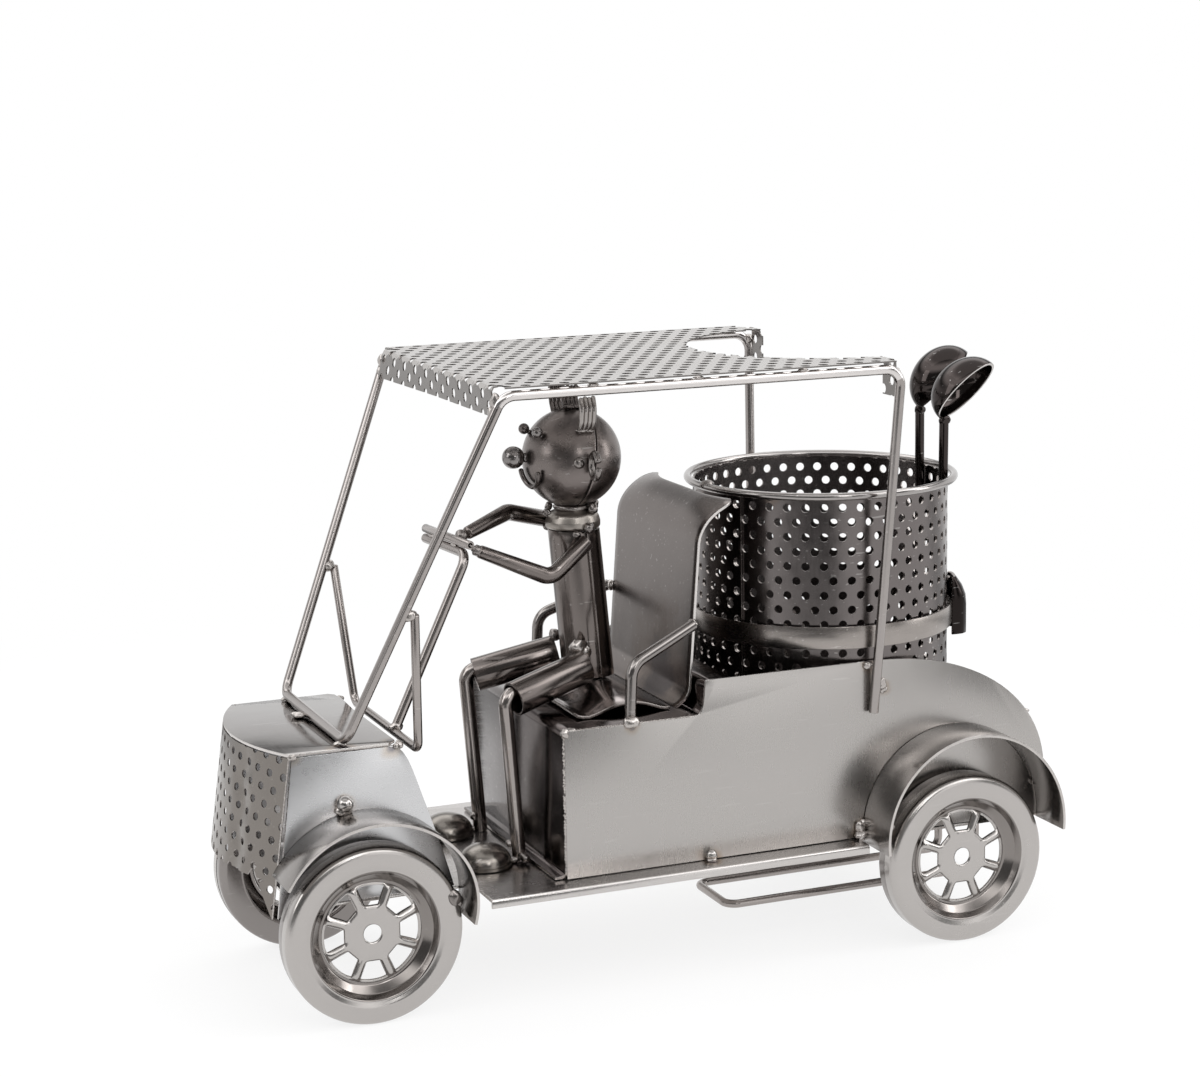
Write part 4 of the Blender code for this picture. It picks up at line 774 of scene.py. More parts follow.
def wheel(end, label, x, inner, side):
    """One wheel: the pressed face and its spokes, which make the outer half, and the inner half."""
    half = WHEEL_WIDTH / 2
    deep = half - DISH_DEPTH
    turn = Matrix.Rotation(math.radians(-90 * side), 4, "X")
    centre = Matrix.Translation((x, side * (inner + GAP + half), WHEEL_RADIUS)) @ turn
    tyre = turned(soft_profile([(WHEEL_RADIUS, GAP / 2), (WHEEL_RADIUS, half), (0.0241, half - 0.0001),
                                (0.0226, half - 0.0007), (0.0219, half - 0.0008), (0.0205, half - 0.003),
                                (0.018, deep - 0.0001), (RIM_RADIUS, deep - 0.0002)], WHEEL_BEND, 6), 96)
    # Faces inside the dish radius take the darker dish steel: painted shade in the dish.
    for item in tyre.faces:
        item.material_index = int(item.calc_center_median().xy.length < DISH_RADIUS)
    put(tyre, centre)
    piece(tyre, f"wheel_{end}_{label}_face", wheel_steel, [f"wheel_{end}_{label}_outer"], sheet=WHEEL_SHEET,
          edge=dish_shade_steel, sharp=60, face=(0, side, 0))
    disc = spoked_disc(deep)
    put(disc, centre)
    pressed = piece(disc, f"wheel_{end}_{label}_spokes", wheel_steel, sharp=180, face=(0, side, 0))
    wall = pressed.modifiers.new("wall", "SOLIDIFY")
    wall.thickness = SPOKE_SHEET
    wall.offset = -1
    wall.edge_crease_inner = 0.75
    wall.edge_crease_outer = 0.75
    wall.edge_crease_rim = 0.60
    smoother = pressed.modifiers.new("pressed_curves", "SUBSURF")
    smoother.levels = 2
    smoother.render_levels = 2
    # The inner half takes the darker back steel: painted shade.
    back = turned(soft_profile([(WHEEL_RADIUS - 0.0001, -GAP / 2), (WHEEL_RADIUS, -half), (0.0219, -half),
                                (0.0215, -half + 0.002)], WHEEL_BEND, 6), 96)
    put(back, centre)
    piece(back, f"wheel_{end}_{label}_back", back_shade_steel, [f"wheel_{end}_{label}_inner"],
          sheet=WHEEL_SHEET, edge=cut_edge, sharp=60, face=(0, -side, 0))


for label, side in SIDES:
    wheel("front", label, 0, HOOD_HALF, side)
    wheel("rear", label, REAR_AXLE_X, PANEL_HALF, side)
wheel_welds = bmesh.new()
both_sides(bead, wheel_welds, (0.0272, 0.0484, 0.0398), radius=0.0021, stretch=(1, 0.7, 1.4), rough=0.35)
both_sides(bead, wheel_welds, (0.0292, 0.047, 0.0382), radius=0.0017, rough=0.35)
both_sides(bead, wheel_welds, (0.184, 0.059, 0.046), radius=0.0015, stretch=(1, 0.8, 1.3), rough=0.35)
welded(wheel_welds, "wheel_welds", dark_weld)


# Body
# Two side sheets stand on the floor pan. A folded seat box runs between them, with a flange on the
# floor, a front, a top and a small shelf behind the seat, and a curved deck closes the tail.
PANEL_FRONT_X = 0.0676
SEAT_TOP = 0.0912
STEP_X = 0.1185
BODY_TOP = 0.1033
BODY_ARC_X = 0.182
TAIL_X = 0.2525
TAIL_ARC_Z = 0.055
SQUARENESS = 2 / 2.15
BOX_FLANGE = 0.004
BOX_SHELF = 0.01
BOX_BEND = 0.003
DECK_EDGE_X = BASKET_X + 0.0492


def tail(steps, inset=0.0, first=90.0, last=3.0):
    """The rounded tail in XZ, a quarter of a slightly squared ellipse."""
    angles = [math.radians(first + (last - first) * step / steps) for step in range(steps + 1)]
    return [(BODY_ARC_X + (TAIL_X - BODY_ARC_X - inset) * math.cos(angle)**SQUARENESS,
             TAIL_ARC_Z + (BODY_TOP - TAIL_ARC_Z - inset) * math.sin(angle)**SQUARENESS) for angle in angles]


panel_low = FLOOR_TOP + GAP
rise = BODY_TOP - SEAT_TOP
panel_step = [(STEP_X + rise * (u - 0.3) * 0.4, SEAT_TOP + rise * v)
              for u, v in ((-0.5, -0.01), (-0.1, 0.02), (0.12, 0.10), (0.25, 0.26), (0.34, 0.50),
                           (0.40, 0.78), (0.50, 0.99), (1.4, 1))]
panel_outline = ([(PANEL_FRONT_X, panel_low), (PANEL_FRONT_X, SEAT_TOP)] + panel_step + tail(26)
                 + [(TAIL_X - SHEET, panel_low)])
panel_steel = steel("side_panel_steel", (0.44, 0.421, 0.405), 0.27, drawn=(1, 1, 0.06), clouds=0.05,
                    waves=0.30, grain=0.004, wear=0.15, uneven=0.35,
                    burns_and_shade=[((0.1215, -0.0476, 0.0405), 0.004), ((0.179, -0.0476, 0.042), 0.007),
                           ((0.187, -0.0476, 0.0935), 0.004), ((0.1812, -0.0476, 0.102), 0.004),
                           ((0.0919, -0.0476, 0.0905), 0.004)])
for label, side in SIDES:
    panel = filled([(x, side * PANEL_HALF, z) for x, z in panel_outline], (0, side, 0))
    plate(panel, f"side_panel_{label}_sheet", panel_steel, f"side_panel_{label}", (0, side, 0))

panel_inner = PANEL_HALF - SHEET - GAP
riser = STEP_X + 2 * SHEET
box_fold = ((PANEL_FRONT_X - BOX_FLANGE, panel_low + SHEET), (PANEL_FRONT_X, panel_low + SHEET),
            (PANEL_FRONT_X, SEAT_TOP), (riser - SHEET / 2, SEAT_TOP), (riser - SHEET / 2, BODY_TOP - SHEET),
            (riser + BOX_SHELF, BODY_TOP - SHEET))
box_path = rounded([(x, -panel_inner, z) for x, z in box_fold], BOX_BEND, 6)
box_sheet = strip(box_path, (0, 2 * panel_inner, 0))
box_steel = steel("seat_box_steel", (0.095, 0.080, 0.077), 0.16, drawn=(1, 0.06, 1), clouds=0.18, waves=0.55)
plate(box_sheet, "seat_box_fold", box_steel, "seat_box", (-1, 0, 1), slot="gunmetal", edge=dark_edge)

deck_start = math.degrees(math.acos(((DECK_EDGE_X - BODY_ARC_X) / (TAIL_X - BODY_ARC_X))**(1 / SQUARENESS)))
deck_profile = tail(20, first=deck_start) + [(TAIL_X - SHEET, panel_low)]
deck = strip([(x, -panel_inner, z) for x, z in deck_profile], (0, 2 * panel_inner, 0))
plate(deck, "rear_deck_sheet", lid_steel, "rear_deck", (1, 0, 1))

body_welds = bmesh.new()
both_sides(bead, body_welds, (0.1201, PANEL_HALF + 0.0016, 0.0404), radius=0.0015, stretch=(1.3, 1.2, 0.6))
both_sides(bead, body_welds, (0.1779, PANEL_HALF + 0.0007, 0.044), radius=0.0023, stretch=(0.8, 0.6, 1.1),
           rough=0.4)
both_sides(bead, body_welds, (0.1776, PANEL_HALF + 0.0013, 0.0415), radius=0.0019, stretch=(1.2, 0.9, 0.9),
           rough=0.4)
both_sides(seam, body_welds, (PANEL_FRONT_X + 0.0002, PANEL_HALF - 0.0006, 0.042),
           (PANEL_FRONT_X + 0.0002, PANEL_HALF - 0.0006, SEAT_TOP - 0.001), radius=0.0008)
both_sides(bead, body_welds, (PANEL_FRONT_X + 0.0004, PANEL_HALF - 0.0008, SEAT_TOP - 0.0008), radius=0.0016,
           rough=0.4)
both_sides(bead, body_welds, (PANEL_FRONT_X + 0.003, PANEL_HALF - 0.0014, SEAT_TOP - 0.0001), radius=0.0013,
           stretch=(1.5, 1, 0.7), rough=0.4)
both_sides(seam, body_welds, (0.07, PANEL_HALF - 0.0011, SEAT_TOP - 0.0001),
           (0.116, PANEL_HALF - 0.0011, SEAT_TOP - 0.0001), radius=0.0006)
tail_x, tail_z = tail(4, inset=0.0006, first=30, last=18)[1]
both_sides(bead, body_welds, (tail_x, PANEL_HALF - 0.0014, tail_z), radius=0.0013, stretch=(1.6, 0.8, 0.8))
welded(body_welds, "body_welds")


# Basket
# A perforated sheet rolled into a cylinder, with its free end lapped over and spot welded, a wire
# round the top, a strap round its middle and a small bulged pocket at the back.
BASKET_RADIUS = 0.0462
BASKET_TOP = 0.1632
BASKET_WALL = 0.0009
BASKET_SHEET = 0.0007
BASKET_PITCH = math.tau * BASKET_RADIUS / 44
BASKET_ROW = 0.00514
BASKET_HOLE = 0.00155
BASKET_LAP = 0.0052
TOP_ROW_Z = 0.15735
LAP_TURN = math.radians(-160)
RIM_WIRE = 0.0014
HOOP_Z = 0.108
HOOP_HEIGHT = 0.0078
HOOP_WALL = 0.0008
POCKET_TURN = math.radians(-20)
POCKET_HALF = 0.0075
POCKET_DEPTH = 0.0054
POCKET_HEIGHT = 0.021
POCKET_FOOT = HOOP_Z + HOOP_HEIGHT / 2 - 0.0089
basket_axis = Vector((BASKET_X, 0, 0))


def round_post(turn, radius, height=0.0):
    """A point beside an upright axis, at a turn, a radius and a height."""
    return Vector((radius * math.cos(turn), radius * math.sin(turn), height))


basket = perforated(BASKET_PITCH, BASKET_ROW, BASKET_HOLE, 47, 26,
                    (-BASKET_PITCH, TOP_ROW_Z - 23 * BASKET_ROW))
basket_wrap = math.tau * BASKET_RADIUS + BASKET_LAP
for way, reach in (((-1, 0, 0), 0), ((1, 0, 0), basket_wrap), ((0, -1, 0), -panel_low),
                   ((0, 1, 0), BASKET_TOP - 0.0018)):
    saw(basket, way, reach)
for vert in basket.verts:
    vert.co = basket_axis + round_post(LAP_TURN + vert.co.x / BASKET_RADIUS,
                                       BASKET_RADIUS - BASKET_WALL * (1 - vert.co.x / basket_wrap), vert.co.y)
basket_steel = steel("basket_steel", (0.18, 0.162, 0.158), 0.22, drawn=(1, 1, 0.10), clouds=0.22, waves=0.25,
                     burns_and_shade=[((0.1388, 0.004, 0.16), 0.007), ((0.151, -0.031, 0.161), 0.005)])
piece(basket, "basket_cylinder", basket_steel, ["basket"], slot="gunmetal", sheet=BASKET_SHEET,
      edge=dark_edge, sharp=45)

rim = bmesh.new()
rim_path = [basket_axis + round_post(math.tau * step / 96 + math.radians(186), BASKET_RADIUS + GAP + RIM_WIRE,
                                     BASKET_TOP - RIM_WIRE) for step in range(96)]
rod(rim, rim_path, RIM_WIRE, closed=True, sides=14)
rim_steel = steel("rim_wire_steel", (0.36, 0.34, 0.33), 0.17, clouds=0.25, grain=0.10)
piece(rim, "basket_rim_wire", rim_steel, ["basket_rim"], slot="gunmetal")

hoop_in = BASKET_RADIUS + GAP
hoop = turned(soft_profile([(hoop_in, HOOP_Z + HOOP_HEIGHT), (hoop_in + HOOP_WALL, HOOP_Z + HOOP_HEIGHT),
                            (hoop_in + HOOP_WALL, HOOP_Z), (hoop_in, HOOP_Z)], 0.0002, 2), 128)
put(hoop, Matrix.Translation(basket_axis))
hoop_steel = steel("hoop_steel", (0.35, 0.32, 0.30), 0.26, drawn=(0.1, 0.1, 1), clouds=0.25)
piece(hoop, "basket_hoop_strap", hoop_steel, ["basket_hoop"], slot="gunmetal", edge=dark_edge)

pocket_seat = hoop_in + HOOP_WALL + GAP
pocket_side = ((-1, 0), (-0.93, 0.35), (-0.80, 0.68), (-0.55, 0.92), (-0.25, 1))
pocket_shares = pocket_side + tuple((-width, depth) for width, depth in reversed(pocket_side))
pocket = strip([(pocket_seat + POCKET_DEPTH * depth - 2 * GAP * (1 - depth), POCKET_HALF * width, POCKET_FOOT)
                for width, depth in pocket_shares], (0, 0, POCKET_HEIGHT / 6), 6)
for vert in pocket.verts:
    up = max(0, (vert.co.z - POCKET_FOOT) / POCKET_HEIGHT - 0.55) / 0.45
    vert.co.x -= (vert.co.x - pocket_seat) * 0.75 * up**2
    vert.co.y *= 1 - 0.25 * up**2
put(pocket, Matrix.Translation(basket_axis) @ Matrix.Rotation(POCKET_TURN, 4, "Z"))
# The pocket's steel is near black: a painted dark reflection.
pocket_dark_reflection_steel = steel("pocket_steel", (0.022, 0.018, 0.017), 0.17, clouds=0.20, waves=0.30)
piece(pocket, "basket_pocket_strap", pocket_dark_reflection_steel, ["basket_pocket"], slot="gunmetal", sheet=BASKET_WALL,
      edge=dark_edge, soften=SOFT_EDGE, face=(1, -0.3, 0))

basket_welds = bmesh.new()
for angle, drop, size in ((-174.5, 0.0008, 0.0021), (-168, 0.0016, 0.0012), (-138, 0.0024, 0.0011),
                          (-96, 0.0024, 0.0012), (-40, 0.0024, 0.0011), (30, 0.0024, 0.0011),
                          (95, 0.0024, 0.0011)):
    spot = round_post(math.radians(angle), BASKET_RADIUS + 0.001, BASKET_TOP - drop)
    bead(basket_welds, basket_axis + spot, size, stretch=(1.2, 1.2, 0.8), rough=0.35)
for angle, z in ((-160, 0.1435), (-160, 0.123), (-160, 0.089), (-20, 0.1225), (20, 0.122)):
    bead(basket_welds, basket_axis + round_post(math.radians(angle), BASKET_RADIUS + 0.0004, z), 0.0009)
welded(basket_welds, "basket_welds", dark_weld, "gunmetal")


# Canopy
# A perforated sheet laid on the roof frame, with its front edge and rear tabs folded down and a
# round notch sawn over the basket, straight through the holes.
CANOPY_HALF = 0.0625
CANOPY_WIRE_Z = 0.2068
FRAME_WIRE = 0.0017
CANOPY_FRONT_X = 0.0415
CANOPY_REAR_X = 0.187
NOTCH_RADIUS = 0.048
NOTCH_CUTS = 26
CANOPY_LIP = 0.0098
REAR_LIP = 0.013
LIP_FLARE = 0.0022
CANOPY_PITCH = 0.0066
CANOPY_ROW = CANOPY_PITCH * math.sqrt(3) / 2
CANOPY_HOLE = 0.0017
CANOPY_FOLD = 0.0016
canopy_top = CANOPY_WIRE_Z + FRAME_WIRE + GAP + SHEET
fold_run = CANOPY_FOLD * math.pi / 2
lip_half = CANOPY_HALF - 3 * FRAME_WIRE - GAP
front_fold = CANOPY_FRONT_X + CANOPY_FOLD
rear_fold = CANOPY_REAR_X - CANOPY_FOLD
front_cut = front_fold - fold_run - (CANOPY_LIP - CANOPY_FOLD)
canopy = perforated(CANOPY_PITCH, CANOPY_ROW, CANOPY_HOLE, 28, 26, (front_cut, -0.0715))
bmesh.ops.rotate(canopy, verts=canopy.verts, cent=(0, 0, 0), matrix=Matrix(((0, 1, 0), (1, 0, 0), (0, 0, 1))))
bmesh.ops.reverse_faces(canopy, faces=canopy.faces)
for way, reach in (((-1, 0, 0), CANOPY_HALF), ((1, 0, 0), CANOPY_HALF), ((0, -1, 0), -front_cut),
                   ((0, 1, 0), rear_fold + fold_run + (REAR_LIP - CANOPY_FOLD))):
    saw(canopy, way, reach)
for _, side in SIDES:
    saw(canopy, (side, 0, 0), lip_half, keep=lambda spot: spot.y < front_fold or spot.y > rear_fold)
    saw(canopy, (-side, 0, 0), -NOTCH_RADIUS,
        keep=lambda spot: spot.y > CANOPY_REAR_X - 0.0005 and spot.x * side > 0)
for cut in range(NOTCH_CUTS):
    cut_turn = math.pi * (cut + 0.5) / NOTCH_CUTS

    def in_sector(spot, turn=cut_turn):
        """Whether a face of the canopy lies before one short chord of the notch."""
        inward = CANOPY_REAR_X - spot.y
        beside = abs(math.atan2(inward, spot.x) - turn) <= math.pi / NOTCH_CUTS / 2
        return beside and inward > 0 and math.hypot(spot.x, inward) < NOTCH_RADIUS + 0.004

    saw(canopy, -round_post(-cut_turn, 1), -NOTCH_RADIUS, keep=in_sector, start=(0, CANOPY_REAR_X, 0))
for vert in canopy.verts:
    y, x, z = vert.co.x, vert.co.y, canopy_top
    past_front = front_fold - x
    past = max(past_front, x - rear_fold)
    if past > 0:
        turn = min(past, fold_run) / CANOPY_FOLD
        hang = max(0, past - fold_run)
        z = canopy_top - CANOPY_FOLD * (1 - math.cos(turn)) - hang
        if past_front > 0:
            flare = LIP_FLARE * hang / CANOPY_LIP * max(0, y / lip_half)
            x = front_fold - CANOPY_FOLD * math.sin(turn) - flare
        else:
            x = rear_fold + CANOPY_FOLD * math.sin(turn)
    vert.co = (x, y, z)
# The folded lips take a darker steel than the top, and so do the walls of the holes and the cut edges:
# painted shade on one and the same sheet.
for item in canopy.faces:
    item.material_index = int(item.calc_center_median().z < canopy_top - CANOPY_FOLD)
lip_shade_steel = steel("canopy_lip_painted_shade", (0.19, 0.177, 0.168), 0.24, clouds=0.25, waves=0.30, grain=0.03,
                  wear=0.3)
canopy_steel = steel("canopy_steel", (0.50, 0.478, 0.46), 0.27, drawn=(1, 0.1, 1), clouds=0.14, waves=0.35,
                     grain=0.03, wear=0.25)
piece(canopy, "canopy_sheet", canopy_steel, ["canopy"], sheet=PUNCHED_SHEET, edge=lip_shade_steel, sharp=45,
      face=(0, 0, 1))


# Roof frame
# One length of 3.4 mm wire: up the two rear posts, along the roof's edges, down the front posts
# and across the hood. The canopy is tacked to it.
HOOD_BAR_Z = HOOD_TOP + GAP + FRAME_WIRE
FRAME_BEND = 0.006
POST_TOP_X = 0.044
POST_FOOT_X = -0.0045
frame_edge = CANOPY_HALF - FRAME_WIRE


def looped(half, bend, steps=7):
    """A bent path that runs along the near side, then back along the far side."""
    return rounded([(x, -y, z) for x, y, z in half] + half[::-1], bend, steps)


frame_side = [(0.1823, PANEL_HALF + GAP + FRAME_WIRE, 0.0854), (CANOPY_REAR_X, frame_edge, CANOPY_WIRE_Z),
              (POST_TOP_X, frame_edge, CANOPY_WIRE_Z), (POST_FOOT_X, HOOD_HALF, HOOD_BAR_Z)]
roof = bmesh.new()
rod(roof, looped(frame_side, FRAME_BEND, 9), FRAME_WIRE, sides=20, dome=0.15)
# The wire along the roof takes a light steel and the posts below it a darker one: a painted highlight on the
# rail and painted shade on the posts, on one and the same wire.
for item in roof.faces:
    item.material_index = int(item.calc_center_median().z < CANOPY_WIRE_Z - 2 * FRAME_WIRE)
rail_highlight_steel = steel("roof_rail_painted_highlight", (0.68, 0.65, 0.635), 0.20, clouds=0.22, waves=0.25, grain=0.02,
                    wear=0.3)
post_shade_steel = steel("roof_post_painted_shade", (0.36, 0.333, 0.32), 0.20, clouds=0.22, waves=0.25, grain=0.02,
                   wear=0.4)
piece(roof, "roof_frame_wire", rail_highlight_steel, ["roof_frame"], edge=post_shade_steel)

roof_welds = bmesh.new()
for place, radius, stretch, rough in (
        ((0.181, PANEL_HALF + 0.0008, 0.102), 0.0015, (1.3, 0.6, 0.8), 0.5),
        ((0.1864, PANEL_HALF + 0.0004, 0.095), 0.0013, (1.1, 0.5, 1.5), 0.6),
        ((0.1872, PANEL_HALF + 0.0003, 0.0925), 0.001, (1.2, 0.5, 1.2), 0.6),
        ((CANOPY_FRONT_X + 0.0006, frame_edge - 0.0016, CANOPY_WIRE_Z - 0.0014), 0.0021, (0.8, 1, 1.2), 0.35),
        ((CANOPY_FRONT_X - 0.0005, frame_edge - 0.0024, CANOPY_WIRE_Z - 0.0052), 0.0018, (0.7, 1.1, 1), 0.35),
        ((CANOPY_REAR_X - 0.0008, frame_edge - 0.0016, CANOPY_WIRE_Z - 0.002), 0.0018, (0.8, 1, 1.1), 0.35),
        ((-0.005, 0.033, HOOD_TOP + 0.0006), 0.0014, (1.6, 1, 0.7), 0.4)):
    both_sides(bead, roof_welds, place, radius=radius, stretch=stretch, rough=rough)
for x in (0.075, 0.112, 0.150):
    both_sides(bead, roof_welds, (x, frame_edge, CANOPY_WIRE_Z + FRAME_WIRE), radius=0.0011,
               stretch=(1.8, 0.9, 0.6))
bead(roof_welds, (-0.0072, 0.0085, HOOD_TOP + 0.001), 0.0019, stretch=(1.5, 1.1, 0.7), rough=0.5)
welded(roof_welds, "roof_welds")


# Windscreen brace and steering
# A thinner wire runs from post to post and dips behind the hood. The steering column is welded to
# it, bends over at the top, and carries a short hollow handlebar.
BRACE_X = 0.0205
BRACE_Z = 0.088
BRACE_HALF = 0.0357
BRACE_RISE = 0.0475
BRACE_WIRE = 0.0015
TUBE_BORE = 0.0009
STEERING_Y = -0.0095
BAR_NEAR_Y = -0.0155
BAR_FAR_Y = 0.0223
BAR_SKEW = 0.087


def laid(start, run):
    """The matrix that lays something made along Z on a run from a start."""
    return Matrix.Translation(start) @ run.to_track_quat("Z", "Y").to_matrix().to_4x4()


brace_top = BRACE_Z + BRACE_RISE
post_share = (brace_top - HOOD_BAR_Z) / (CANOPY_WIRE_Z - HOOD_BAR_Z)
post_x = POST_FOOT_X + (POST_TOP_X - POST_FOOT_X) * post_share
post_y = HOOD_HALF + (frame_edge - HOOD_HALF) * post_share
post_clear = (FRAME_WIRE + BRACE_WIRE + 2 * GAP) * 1.08
brace = bmesh.new()
rod(brace, looped([(post_x + post_clear, post_y, brace_top), (BRACE_X, BRACE_HALF, BRACE_Z)], WIRE_BEND),
    BRACE_WIRE, dome=0.4)
piece(brace, "windscreen_brace_wire", wire_steel, ["windscreen_brace"])

column_foot = Vector((BRACE_X, STEERING_Y, BRACE_Z))
column_knee = Vector((0.0473, -0.0128, 0.1472))
column_near, column_far = [column_knee + Vector((BAR_SKEW * (column_knee.y - y), y - column_knee.y, 0))
                           for y in (BAR_NEAR_Y, BAR_FAR_Y)]
column_start = column_foot + (column_knee - column_foot).normalized() * (BRACE_WIRE + GAP)
column = bmesh.new()
rod(column, rounded([column_start, column_knee, column_far], WIRE_BEND), FRAME_WIRE, dome=0.15)
piece(column, "steering_column_rod", wire_steel, ["steering_column"])

bar_lift = Vector((0, 0, FRAME_WIRE + BRACE_WIRE + GAP))
bar_run = column_far - column_near
bar = turned(soft_profile([(TUBE_BORE, 0), (BRACE_WIRE, 0), (BRACE_WIRE, bar_run.length),
                           (TUBE_BORE, bar_run.length), (TUBE_BORE, 0)], 0.00015, 2), 24)
put(bar, laid(column_near + bar_lift, bar_run))
piece(bar, "handlebar_tube", wire_steel, ["handlebar"])

brace_welds = bmesh.new()
both_sides(bead, brace_welds, (post_x + post_clear * 0.55, post_y, brace_top + 0.0002), radius=0.0023,
           stretch=(1.1, 0.9, 0.9), rough=0.25)
both_sides(bead, brace_welds, (HOOD_REAR_X + 0.0014, HOOD_HALF - 0.003, HOOD_TOP - 0.0018), radius=0.0015,
           rough=0.3)
bead(brace_welds, column_start, 0.0019, stretch=(1.2, 1.1, 0.8), rough=0.3)
for share in (0.35, 0.85):
    bead(brace_welds, column_near.lerp(column_far, share) + bar_lift / 2, 0.0011, stretch=(1, 2, 0.8))
welded(brace_welds, "brace_welds")


# Seat
# An arched pan and a tall back, both bent from dark sheet. The back leans a little, then rolls
# backwards at the top. A bent wire on each side makes the armrests.
SEAT_HALF = 0.036
BACK_X = 0.1175
BACK_LEAN = 0.0045
BACK_FOOT = 0.004
BACK_ROLL_Z = 0.148
BACK_ROLL_RADIUS = 0.0162
BACK_ROLL = math.radians(70)
BACK_CORNER = 0.0045
BACK_FLARE = 0.004
PAN_FRONT_X = 0.077
PAN_LENGTH = 0.034
PAN_ARCH = 0.0055
PAN_SAG = 0.40
ARMREST_X = 0.0925
ARMREST_WIRE = 0.002
ARMREST_ELBOW = 0.019
ARMREST_RISE = 0.0102
seat_low = SEAT_TOP + GAP
pan_low = seat_low + SHEET
pan_shares = ((0, 0.22), (0.06, 0.04), (0.12, 0), (0.20, 0.20), (0.30, 0.55), (0.38, 0.80), (0.46, 0.95),
              (0.58, 1), (0.66, 0.93), (0.74, 0.75), (0.82, 0.45), (0.90, 0.15), (0.95, 0.03), (1, 0))
seat = strip([(PAN_FRONT_X + PAN_LENGTH * u, -SEAT_HALF, pan_low + PAN_ARCH * v) for u, v in pan_shares],
             (0, SEAT_HALF / 4, 0), 8)
for vert in seat.verts:
    vert.co.z -= (vert.co.z - pan_low) * PAN_SAG * (vert.co.y / SEAT_HALF)**2
seat_steel = steel("seat_steel", (0.36, 0.325, 0.315), 0.16, drawn=(1, 0.05, 1), clouds=0.18, waves=0.45)
plate(seat, "seat_pan_sheet", seat_steel, "seat_pan", (0, 0, 1), slot="gunmetal", edge=dark_edge, sharp=60)

back_rise = BACK_ROLL_Z - seat_low
back_tilt = math.atan2(BACK_LEAN, back_rise)
back_path = [(BACK_X + BACK_LEAN * up - BACK_FOOT * max(0, 1 - up / 0.12)**2, -1, seat_low + back_rise * up)
             for up in [step / 44 for step in range(45)]]
roll_x = BACK_X + BACK_LEAN + BACK_ROLL_RADIUS * math.cos(back_tilt)
roll_z = BACK_ROLL_Z - BACK_ROLL_RADIUS * math.sin(back_tilt)
for turn in [back_tilt + (BACK_ROLL - back_tilt) * step / 20 for step in range(1, 21)]:
    back_path.append((roll_x - BACK_ROLL_RADIUS * math.cos(turn), -1,
                      roll_z + BACK_ROLL_RADIUS * math.sin(turn)))
tip_x, _, tip_z = back_path[-1]
back = strip(back_path, (0, 1 / 12, 0), 24)
for vert in back.verts:
    cut = max(0, 1 - math.hypot(vert.co.x - tip_x, vert.co.z - tip_z) / BACK_CORNER)
    below = max(0, 1 - (vert.co.z - seat_low) / 0.006)
    rolled = max(0, vert.co.x - BACK_X - BACK_LEAN) / (tip_x - BACK_X - BACK_LEAN)
    vert.co.x += BACK_FLARE * rolled * max(0, abs(vert.co.y) - 0.5)**2 * 4
    vert.co.y *= SEAT_HALF - BACK_CORNER * (1 - math.sqrt(1 - cut**2)) - 0.0022 * below**2
# The wide burn at the foot of the back is painted shade: it darkens the lower back behind the driver.
back_steel = steel("seat_back_steel", (0.160, 0.140, 0.132), 0.22, drawn=(1, 1, 0.06), clouds=0.14,
                   waves=0.40, grain=0.02, uneven=0.6, burns_and_shade=[((0.119, -0.012, 0.097), 0.034)])
plate(back, "seat_back_sheet", back_steel, "seat_back", (-1, 0, 0), slot="gunmetal", sharp=60)

elbow_z = seat_low + ARMREST_ELBOW
arm_foot_y = PANEL_HALF - SHEET - ARMREST_WIRE
arm_end = (BACK_X + BACK_LEAN / 3, SEAT_HALF + ARMREST_WIRE + GAP, elbow_z + ARMREST_RISE)
armrest_steel = steel("armrest_steel", (0.27, 0.25, 0.24), 0.17, clouds=0.25, grain=0.03, wear=0.3)
for label, side in SIDES:
    armrest = bmesh.new()
    path = [(x, side * y, z) for x, y, z in ((ARMREST_X, arm_foot_y, seat_low),
                                             (ARMREST_X + SHEET, arm_foot_y, elbow_z), arm_end)]
    rod(armrest, rounded(path, 0.007, 9), ARMREST_WIRE, dome=0.3)
    piece(armrest, f"armrest_{label}_wire", armrest_steel, [f"armrest_{label}"], slot="gunmetal")
seat_welds = bmesh.new()
both_sides(bead, seat_welds, (ARMREST_X - 0.0006, PANEL_HALF - 0.0004, SEAT_TOP + 0.0004), radius=0.0024,
           stretch=(1.3, 1, 0.9), rough=0.2)
both_sides(bead, seat_welds, (arm_end[0] + 0.0004, arm_end[1] - 0.0012, arm_end[2]), radius=0.0018,
           stretch=(0.8, 0.9, 1.1), rough=0.3)
welded(seat_welds, "seat_welds")


# Driver
# Rolled tube, rod and pressed cups welded into a figure: a lapped tube for the body, two hollow
# thighs with bent rods for shins, domed caps for feet, and two cups for the head.
HEAD_X = 0.0906
HEAD_RADIUS = 0.0172
HEAD_Z = 0.1753
HEAD_SEAM = 0.002
HEAD_NOD = math.radians(10)
NECK_RADIUS = 0.0096
NECK_HEIGHT = 0.007
COLLAR_RADIUS = 0.0058
TORSO_RADIUS = 0.0094
TORSO_LEAN = 0.0045
TORSO_WRAP = math.radians(372)
TORSO_LAP = math.radians(-68)
TUBE_WALL = 0.0009
ARM_RADIUS = 0.0029
ARM_TAPER = 0.22
THIGH_RADIUS = 0.006
THIGH_RUN = Vector((-0.0285, 0.0066, -0.007))
HIP = Vector((0.0885, 0.0132, 0.104))
SHIN_RADIUS = 0.0025
SHIN_FOOT_X = 0.0606
FOOT_RADIUS = 0.0096
FOOT_HEIGHT = 0.0078
FOOT_RIM = 0.0011
FOOT_Y = 0.02
head_centre = Vector((HEAD_X, 0, HEAD_Z))
